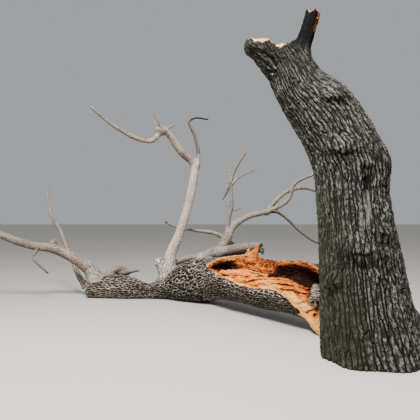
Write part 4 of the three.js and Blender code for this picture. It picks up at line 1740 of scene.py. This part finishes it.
@dataclass
class FallenStem:
    """The fallen stem beyond the wound, with the collars of its boughs, down to its broken left end."""

    voxel: float = 0.0105
    saddle: Collar = Collar(SADDLE_LOG, 0.35, 0.05)
    collars: tuple[Collar, ...] = (
        Collar(UPRIGHT_BOUGH, 0.56, 0.12),
        Collar(LEFT_BOUGH, 0.40, 0.10),
        Collar(HOOKED_BOUGH, 0.2, 0.05),
        Collar(REAR_LEFT, 0.2, 0.03),
        saddle,
        Collar(ARC_BOUGH, 0.16, 0.06),
    )
    smooth_knobs: tuple[Lump, ...] = (
        ((-2.86, 4.30, 0.70), (0.085, 0.085, 0.10)),
        ((-2.80, 4.31, 0.57), (0.09, 0.09, 0.12)),
        ((-1.95, 4.17, 0.79), (0.20, 0.13, 0.13)),
    )
    furrowed_knob: Lump = ((-4.32, 4.50, 0.30), (0.10, 0.1, 0.1))

    def shape(self, butt: Axis, trunk: Axis, limbs: Sequence[Axis]) -> Grid:
        """The solid, with its collars, knobs and torn left end."""
        grid = Grid((-4.62, 3.42, -0.03), (-1.32, 5.1, 1.12), self.voxel)
        grid.add_axis(butt.part(2.6, butt.run[-1]), 0.01)
        grid.add_axis(trunk, 0.08, flat=(False, True))
        grid.remember_skin()
        place, way = butt.at(SEAM - OVERLAP)
        grid.halve(place, -way)
        for axis, collar in zip(limbs, self.collars):
            grid.add_axis(axis.part(0.0, collar.end), collar.blend, flat=(False, True))
        for knob in (*self.smooth_knobs, self.furrowed_knob):
            grid.add_lump(*knob, 0.06)
        grid.remember_skin()
        tip, way = trunk.at(trunk.run[-1])
        grid.carve(
            lambda points: 0.035 + 0.025 * layered_noise(points, (10, 10, 10), 81) - (points - tip) @ way,
            (-4.65, 4.2, -0.1),
            (-4.2, 5.1, 0.6),
        )
        grid.above_ground()
        return grid

    def near_bough(self, points: Array, limbs: Sequence[Axis]) -> Array:
        """How much the points wear the fine bark of the boughs, 0 to 1."""
        reach = np.full(len(points), FAR_AWAY)
        for axis, collar in zip(limbs, self.collars):
            side, up, run = axis.near(points)[1].T
            own = np.hypot(side, up) < 1.5 * np.interp(run, axis.run, axis.radii)
            reach = np.where(own, np.minimum(reach, collar.end - run), reach)
        near = ease(0.75, 0.25, reach) * (1 - 0.5 * ease(-3.4, -3.7, points[:, 0]))
        for knob in self.smooth_knobs:
            near = np.maximum(near, ease(2.2, 1.3, from_middle(points, knob)))
        return near

    def build(self, kit: Kit) -> None:
        """Builds and dresses the stem."""
        butt, trunk = FALLEN_BUTT.axis(), FALLEN_TRUNK.axis()
        limbs = [collar.limb.axis() for collar in self.collars]
        grid = self.shape(butt, trunk, limbs)
        skin, points, seam = barked("fallen_stem", grid, [butt, trunk, *limbs])
        x, _, z = points.T
        fine = self.near_bough(points, limbs)
        saddle = limbs[self.collars.index(self.saddle)]
        # Painted shadow on the bark beneath the saddle log, and painted shade along the bottom of the stem,
        # fading out towards its left end
        painted_shadow_under_saddle = ease(0.14, 0.04, saddle.near(points)[0]) * ease(0.72, 0.8, z)
        painted_low_shade = ease(0.34, 0.05, z) * ease(-3.4, -2.6, x)
        tone = 0.15 * ease(-2.6, -3.4, x) - 0.45 * painted_low_shade - 0.38 * painted_shadow_under_saddle
        skin.numbers(
            rot=0.25,
            moss=0.0,
            calm=1.0 - 0.3 * ease(-3.2, -4.2, x),
            fine=fine,
            tone=tone - UNDERSIDE_SHADE * fine * skin.underside(),
            gnarl=0.6 * np.maximum(seam, ease(-2.8, -2.2, x)),
        )
        kit.finish(skin.build(), Surface.FALLEN, "fallen_trunk")


@dataclass
class RootStump:
    """The low split stump of the sister stem, against the foot of the standing trunk."""

    voxel: float = 0.012
    body: Limb = Limb(
        (380, 1120, -20), ((240, 170, 85), (280, 165, 82), (260, 160, 80)), (620, 500, 460, 430)
    )
    middle: Pair = (0.36, 1.12)
    flare: float = 0.03
    height: float = 0.74
    splits: tuple[Lump, ...] = (
        ((-0.06, 1.12, 0.82), (0.23, 0.26, 0.30)),
        ((0.33, 1.27, 0.73), (0.23, 0.23, 0.30)),
        ((0.56, 1.04, 0.87), (0.23, 0.20, 0.30)),
    )

    def flutes(self, x: Array, y: Array, z: Array) -> Array:
        """Root flutes round the foot."""
        angle = np.arctan2(y - self.middle[1], x - self.middle[0])
        return self.flare * np.exp(-np.maximum(z, 0) / 0.3) * np.cos(5 * angle)

    def torn(self, points: Array) -> Array:
        """Distance into the torn-out space above the stump."""
        gaps = [(from_middle(points, split) - 1) * min(split[1]) for split in self.splits]
        top = self.height + 0.07 * layered_noise(points, (9, 9, 1), 95) - points[:, 2]
        return np.minimum.reduce([*gaps, top]) + 0.022 * layered_noise(points, (16, 16, 3), 91)

    def build(self, kit: Kit) -> None:
        """Builds and dresses the stump."""
        grid = Grid((-0.42, 0.38, -0.03), (1.08, 1.86, 0.86), self.voxel)
        body = self.body.axis()
        grid.add_axis(body, 0.01, self.flutes)
        grid.remember_skin()
        grid.carve(self.torn, grid.low, grid.low + 3)
        grid.above_ground()
        skin, _, _ = barked("split_stump_bark", grid, [body])
        skin.numbers(rot=0.35, moss=0.0, calm=1.0, fine=0.0, gnarl=0.2, tone=-0.1)
        piece = kit.finish(skin.build(), Surface.FALLEN, "split_stump")
        Splinters(lift=0.15).grow(kit, piece, "stump_splinters")


# Boughs


@dataclass(frozen=True)
class Stretch:
    """The stretch of a limb that a bough's piece holds."""

    limb: Limb
    blend: float
    start: float = 0.0
    end: float = FAR_AWAY
    square_start: bool = False
    square_end: bool = False
    torn: bool = False
    tone: float = 0.0


@dataclass
class Bough:
    """Stout limbs that grow into each other, on one block."""

    name: str
    limbs: tuple[Stretch, ...]
    replaced: tuple[str, ...]
    low: Triple
    high: Triple
    lumps: tuple[tuple[Triple, Triple, float], ...] = ()
    voxel: float = 0.008
    coarse: float = 0.0

    def shape(self, axes: Sequence[Axis]) -> Grid:
        """The solid, with its torn ends."""
        grid = Grid(self.low, self.high, self.voxel)
        for axis, part in zip(axes, self.limbs):
            stretch = axis.part(part.start, min(part.end, axis.run[-1]))
            grid.add_axis(stretch, part.blend, flat=(part.square_start, part.square_end))
        for lump in self.lumps:
            grid.add_lump(*lump)
        grid.remember_skin()
        for axis, part in zip(axes, self.limbs):
            if part.torn:
                tip, way = axis.at(axis.run[-1])
                grain = (24, 24, 24)
                grid.carve(
                    lambda points: 0.045 + 0.03 * layered_noise(points, grain, 101) - (points - tip) @ way,
                    tip - 0.2,
                    tip + 0.2,
                )
        grid.above_ground()
        return grid

    def build(self, kit: Kit) -> None:
        """Builds and dresses the bough."""
        axes = [part.limb.axis() for part in self.limbs]
        grid = self.shape(axes)
        skin, points, seam = barked(self.name, grid, axes)
        gnarl = 0.5 * seam
        for lump in self.lumps:
            gnarl = np.maximum(gnarl, ease(1.69, 0.78, from_middle(points, lump[:2])))
        tone = -UNDERSIDE_SHADE * skin.underside()
        for axis, part in zip(axes, self.limbs):
            if part.tone:
                tone = tone + part.tone * ease(0.03, 0.0, axis.near(points)[0])
        skin.numbers(
            rot=0.1,
            moss=ease(-0.5, -1.0, grid.sample(grid.skin, points) / self.voxel),
            calm=1.0,
            fine=1 - self.coarse,
            gnarl=gnarl,
            tone=tone,
        )
        kit.finish(skin.build(), Surface.BOUGH, *self.replaced)


LEFT_ARM = Limb(
    (-2170, 4700, 2570),
    ((170, 190, 48), (210, 210, 35), (210, 200, 50), (200, 205, 56), (150, 205, 39), (120, 205, 7)),
    (76, 71, 66),
)
LEFT_ARM_END = Limb(
    (-2840, 4450, 3220),
    ((290, 225, -42), (170, 195, 0), (190, 195, 16), (470, 200, 28), (480, 205, 37)),
    (52, 43, 35, 28, 23),
)
RIGHT_ARM = Limb(
    (-2140, 4700, 2590),
    ((240, 45, 83), (370, 130, 73), (340, 140, 64), (120, 10, 37), (300, 15, -3)),
    (44, 33, 28, 26, 18),
)
HUB_SPURS = (
    Limb((-2840, 4450, 3230), ((120, 180, 47), (110, 180, 74)), (34, 16)),
    Limb((-2770, 4400, 3240), ((140, 215, 48), (250, 220, 51)), (30, 10)),
    Limb((-2780, 4450, 3250), ((130, 20, 25), (110, 20, 32)), (30, 14)),
)
HANGING_TWIG = Limb((-5140, 4200, 980), ((210, 240, -56), (210, 340, -44), (220, 345, -38)), (28, 18))
HOOKED_TWIG = Limb((-3550, 4700, 480), ((150, 340, 6), (140, 340, 9)), (46, 26))
ARC_UPPER = Limb(
    (-780, 4550, 1645),
    ((200, 25, 51), (340, 20, 42), (190, 20, 23), (310, 20, 7), (310, 20, -15), (290, 10, -24)),
    (48, 44, 36, 28, 18),
)
ARC_LOWER = Limb(
    (-800, 4550, 1650),
    ((360, 350, 26), (210, 355, 44), (210, 330, 73), (150, 335, 44), (370, 340, 22), (300, 340, 19)),
    (46, 41, 34, 28, 16),
)
DROOP = Limb((-690, 4530, 1690), ((170, 350, -17), (720, 338, -40), (410, 340, -26)), (33, 25, 15))
THIN_UPRIGHT = Limb(
    (-1580, 4250, 1170),
    ((360, 0, 81), (280, 330, 77), (410, 245, 84), (220, 330, 74), (450, 325, 53)),
    (38, 33, 28, 25, 14),
)
FORK_RIGHT = Limb((-1480, 4180, 2180), ((220, 5, 43), (410, 25, 23)), (22, 12))
FORK_LEFT = Limb((-1490, 4180, 2230), ((310, 120, 79),), (22, 10))
TORN_WEDGE = Limb((-1490, 4180, 2250), ((230, 160, -68), (170, 150, -60)), (32, 11))
CROSS_LIMB = Limb(
    (-1410, 4500, 970),
    ((210, 140, 40), (360, 145, 22), (420, 150, 6), (430, 155, 9), (300, 155, 19)),
    (46, 38, 33, 29, 24),
)

UPRIGHT_GROUP = Bough(
    "upright_bough_and_arms",
    (
        # tone paints the upright bough paler, making up for the painted underside shade on its steep sides
        Stretch(UPRIGHT_BOUGH, 0.01, 0.56 - OVERLAP, square_start=True, tone=0.35),
        Stretch(LEFT_ARM, 0.05),
        Stretch(LEFT_ARM_END, 0.03, end=0.34),
        Stretch(RIGHT_ARM, 0.04, end=0.22),
        *(Stretch(spur, 0.02) for spur in HUB_SPURS),
    ),
    ("upright_bough", "left_arm", "arm_hub"),
    (-3.25, 4.02, 0.6),
    (-1.92, 4.92, 3.66),
    lumps=(((-2.84, 4.45, 3.22), (0.098, 0.088, 0.082), 0.04),),
)
LEFT_GROUP = Bough(
    "left_bough_and_hook",
    (
        Stretch(LEFT_BOUGH, 0.01, 0.40 - OVERLAP, square_start=True, square_end=True, torn=True),
        Stretch(HOOKED_BOUGH, 0.01, 0.2 - OVERLAP),
    ),
    ("left_bough", "hooked_bough"),
    (-6.62, 3.7, 0.3),
    (-3.4, 4.9, 2.0),
    lumps=(
        ((-4.90, 4.36, 1.075), (0.075, 0.06, 0.06), 0.04),
        ((-3.62, 4.66, 0.455), (0.12, 0.08, 0.06), 0.03),
    ),
    coarse=0.5,
)
ARC_GROUP = Bough(
    "arc_bough_and_logs",
    (
        Stretch(ARC_BOUGH, 0.01, 0.16 - OVERLAP),
        Stretch(SADDLE_LOG, 0.05, 0.35 - OVERLAP, square_start=True, square_end=True, torn=True, tone=-0.3),
        Stretch(LOW_LIMB, 0.06),
        Stretch(ARC_UPPER, 0.03, end=0.25),
        Stretch(ARC_LOWER, 0.03, end=0.25),
        Stretch(THIN_UPRIGHT, 0.03, end=0.2),
    ),
    ("arc_bough", "saddle_log", "low_limb"),
    (-2.85, 3.52, 0.45),
    (-0.42, 4.85, 1.95),
    lumps=(((-0.93, 3.70, 0.97), (0.055, 0.05, 0.075), 0.01),),
    coarse=0.35,
)


@dataclass
class DeadTwigs:
    """The thin limbs, with spurs that a seeded rule grows on them."""

    seed: int = 17
    step: float = 0.028
    # Points round a limb, a broken stub and a spur, and the first number of each for the random unevenness
    limb_ring: int = 14
    stub_ring: int = 8
    spur_ring: int = 7
    first_stub: int = 40
    first_spur: int = 60
    # Each limb with the run it starts from, what it is called, and how dark or pale it is
    hosts: tuple[tuple[Limb, float, str, float], ...] = (
        (LEFT_ARM_END, 0.26, "left_arm_end", 0.0),
        (RIGHT_ARM, 0.14, "right_arm", -0.5),
        (HANGING_TWIG, 0.0, "hanging_twig", -0.35),
        (REAR_LEFT, 0.05, "rear_left_limb", 0.0),
        (HOOKED_TWIG, 0.0, "hooked_twig", 0.0),
        (ARC_UPPER, 0.16, "arc_upper", 0.0),
        (ARC_LOWER, 0.16, "arc_lower", 0.0),
        (DROOP, 0.0, "droop_branch", -0.45),
        (THIN_UPRIGHT, 0.1, "thin_upright", 0.0),
        (FORK_RIGHT, 0.0, "thin_fork_right", 0.0),
        (FORK_LEFT, 0.0, "thin_fork_left", 0.0),
        (TORN_WEDGE, 0.0, "torn_wedge", -0.15),
        (CROSS_LIMB, 0.0, "cross_limb", 0.0),
    )
    stubs: tuple[Limb, ...] = (
        Limb((-1450, 4235, 1745), ((110, 180, 25), (130, 175, 68)), (20, 8)),
        Limb((-1450, 4235, 1700), ((110, 350, 12), (90, 0, 38)), (20, 8)),
        Limb((-1450, 4235, 1720), ((110, 20, -8),), (12, 5)),
        Limb((-2790, 5180, 1450), ((80, 120, 60), (60, 100, 75)), (24, 14)),
    )
    spurs_per_metre: float = 1.6
    more_on_spurs: float = 3.0
    stoutest_spur: float = 0.013
    least_height: float = 0.05
    forking_length: float = 0.07

    def tube(self, axis: Axis, number: int, around: int, tone: float = 0.0) -> Thing:
        """One limb or spur.

        Args:
            axis: its centre line and radii.
            number: which one, for its name and its unevenness.
            around: points in each ring.
            tone: makes its bark darker or paler.
        """
        points, faces = sweep(axis, around, self.seed + number, min(0.03, 0.9 * axis.radii[-1]))
        skin = Skin(f"limb_{number}", points, faces)
        _, straight = axis.near(points)
        places = BarkPlaces.empty(len(points))
        places.fill(np.ones(len(points), bool), axis, straight, 2.9 * number)
        places.store(skin)
        tip = ease(axis.run[-1] - 0.004, axis.run[-1] + 0.002, straight[:, 2])
        skin.numbers(wood=tip, rot=0.0, moss=0.0, calm=1.0, fine=1.0, gnarl=0.3, crevice=0.0)
        return skin.numbers(tone=tone - UNDERSIDE_SHADE * skin.underside()).build()

    def grow(self, rng: np.random.Generator, host: Axis, depth: int = 0) -> list[Axis]:
        """Spurs on one limb, and their own smaller ones.

        Args:
            rng: seeded random numbers.
            host: the limb's centre line.
            depth: how many forks it stands from a limb.

        Returns:
            Their centre lines.
        """
        made: list[Axis] = []
        length = host.run[-1] - host.run[0]
        for _ in range(rng.poisson(self.spurs_per_metre * length * (self.more_on_spurs if depth else 1))):
            share = rng.uniform(0.25, 0.95)
            i = int(share * (len(host.run) - 1))
            angle = rng.uniform(0, 2 * math.pi)
            out = math.cos(angle) * host.sides[i] + math.sin(angle) * host.ups[i]
            way = 0.75 * out + rng.uniform(0.2, 0.8) * host.tangents[i]
            here = host.points[i] + out * host.radii[i] * 0.4
            girth = min(self.stoutest_spur, host.radii[i] * rng.uniform(0.3, 0.5))
            reach = girth * rng.uniform(3.0, 9.0)
            knots = [here]
            for _ in range(3):
                way = way + rng.normal(0, 0.22, 3)
                way = way / np.linalg.norm(way)
                here = here + way * reach / 3
                knots.append(here)
            line = smooth_path(np.array(knots), 3)
            run = path_run(line)
            spur = Axis(line, girth * (1 - 0.65 * run / run[-1]), run)
            if spur.points[:, 2].min() > self.least_height:
                made.append(spur)
                if depth == 0 and reach > self.forking_length:
                    made.extend(self.grow(rng, spur, 1))
        return made

    def build(self, kit: Kit) -> None:
        """Builds and dresses the thin limbs, then their spurs."""
        rng = np.random.default_rng(self.seed)
        parts, spurs = [], []
        for number, (limb, start, _, tone) in enumerate(self.hosts):
            whole = limb.axis(self.step)
            axis = whole.part(start, whole.run[-1]) if start else flared(whole, 0.35)
            parts.append(self.tube(axis, number, self.limb_ring, tone))
            spurs.extend(self.grow(rng, whole))
        small = []
        for number, limb in enumerate(self.stubs, self.first_stub):
            small.append(self.tube(limb.axis(self.step), number, self.stub_ring))
        for number, spur in enumerate(spurs, self.first_spur):
            small.append(self.tube(spur, number, self.spur_ring))
        kit.finish(join("dead_twigs", parts), Surface.TWIG, *(name for _, _, name, _ in self.hosts))
        kit.finish(join("dead_spurs", small), Surface.TWIG)


# Studio


@dataclass
class Studio:
    """Plain pale floor, soft light and the camera."""

    eye: Triple = (-1.886, -6.4, 1.7)
    lens: float = 48.0
    sensor: float = 36.0
    floor_half: float = 60.0
    floor_colour: Colour = (205, 200, 190)
    floor_roughness: float = 0.9
    sky_colour: Triple = (0.93, 0.97, 1.0)
    sky: float = 0.42
    key_place: Triple = (-3.4, -4.4, 9.8)
    key_aim: Triple = (-1.8, 2.2, 0.8)
    key_size: float = 3.6
    key_power: float = 3000.0

    def floor(self) -> None:
        """Makes the floor."""
        h = self.floor_half
        mesh = bpy.data.meshes.new("floor")
        mesh.from_pydata([(-h, -h, 0), (h, -h, 0), (h, h, 0), (-h, h, 0)], [], [(0, 1, 2, 3)])
        material = bpy.data.materials.new("floor_paint")
        material.use_nodes = True
        shader = material.node_tree.nodes["Principled BSDF"]
        shader.inputs["Base Color"].default_value = linear(*self.floor_colour)
        shader.inputs["Roughness"].default_value = self.floor_roughness
        mesh.materials.append(material)
        linked("floor", mesh)

    def light(self) -> None:
        """Makes the sky and the key light."""
        world = bpy.data.worlds.new("sky")
        world.use_nodes = True
        back = world.node_tree.nodes["Background"]
        back.inputs["Color"].default_value = (*self.sky_colour, 1.0)
        back.inputs["Strength"].default_value = self.sky
        bpy.context.scene.world = world
        key = bpy.data.lights.new("key", "AREA")
        key.size = self.key_size
        key.energy = self.key_power
        thing = linked("key", key)
        thing.location = self.key_place
        way = Vector(self.key_aim) - Vector(self.key_place)
        thing.rotation_euler = way.to_track_quat("-Z", "Y").to_euler()

    def camera(self) -> None:
        """Puts the camera where the photo was taken from."""
        data = bpy.data.cameras.new("camera")
        data.lens = self.lens
        data.sensor_width = self.sensor
        thing = linked("camera", data)
        thing.location = self.eye
        thing.rotation_euler = (math.pi / 2, 0, 0)
        bpy.context.scene.camera = thing


def main() -> None:
    """Builds the tree on its frame."""
    logging.basicConfig(level=logging.INFO, format="%(message)s")
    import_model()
    finishes = {
        Surface.TRUNK: BarkFinish("trunk_bark", TRUNK_RELIEF, (12, 11, 8), (44, 41, 36), (128, 124, 118)),
        Surface.FALLEN: BarkFinish(
            "fallen_bark", STEM_RELIEF, (10, 7, 4), (58, 48, 39), (236, 223, 211), fine_lift=0.36
        ),
        Surface.BOUGH: BarkFinish(
            "bough_bark", BOUGH_RELIEF, (52, 39, 30), (138, 119, 102), (228, 215, 202), speckle=0.4
        ),
        Surface.TWIG: BarkFinish(
            "twig_bark", TWIG_RELIEF, (62, 49, 39), (128, 111, 95), (204, 191, 177), speckle=0.4
        ),
        Surface.WOOD: TornFinish(),
    }
    barks = {surface: finish.relief for surface, finish in finishes.items() if surface != Surface.WOOD}
    materials = {surface: finish.build() for surface, finish in finishes.items()}
    kit = Kit(BarkRelief.rig(), Splinters.rig(), barks, materials)
    StandingStem().build(kit)
    RootStump().build(kit)
    TornButt().build(kit)
    FallenStem().build(kit)
    for bough in (UPRIGHT_GROUP, LEFT_GROUP, ARC_GROUP):
        bough.build(kit)
    DeadTwigs().build(kit)
    studio = Studio()
    studio.floor()
    studio.light()
    studio.camera()


if __name__ == "__main__":
    main()
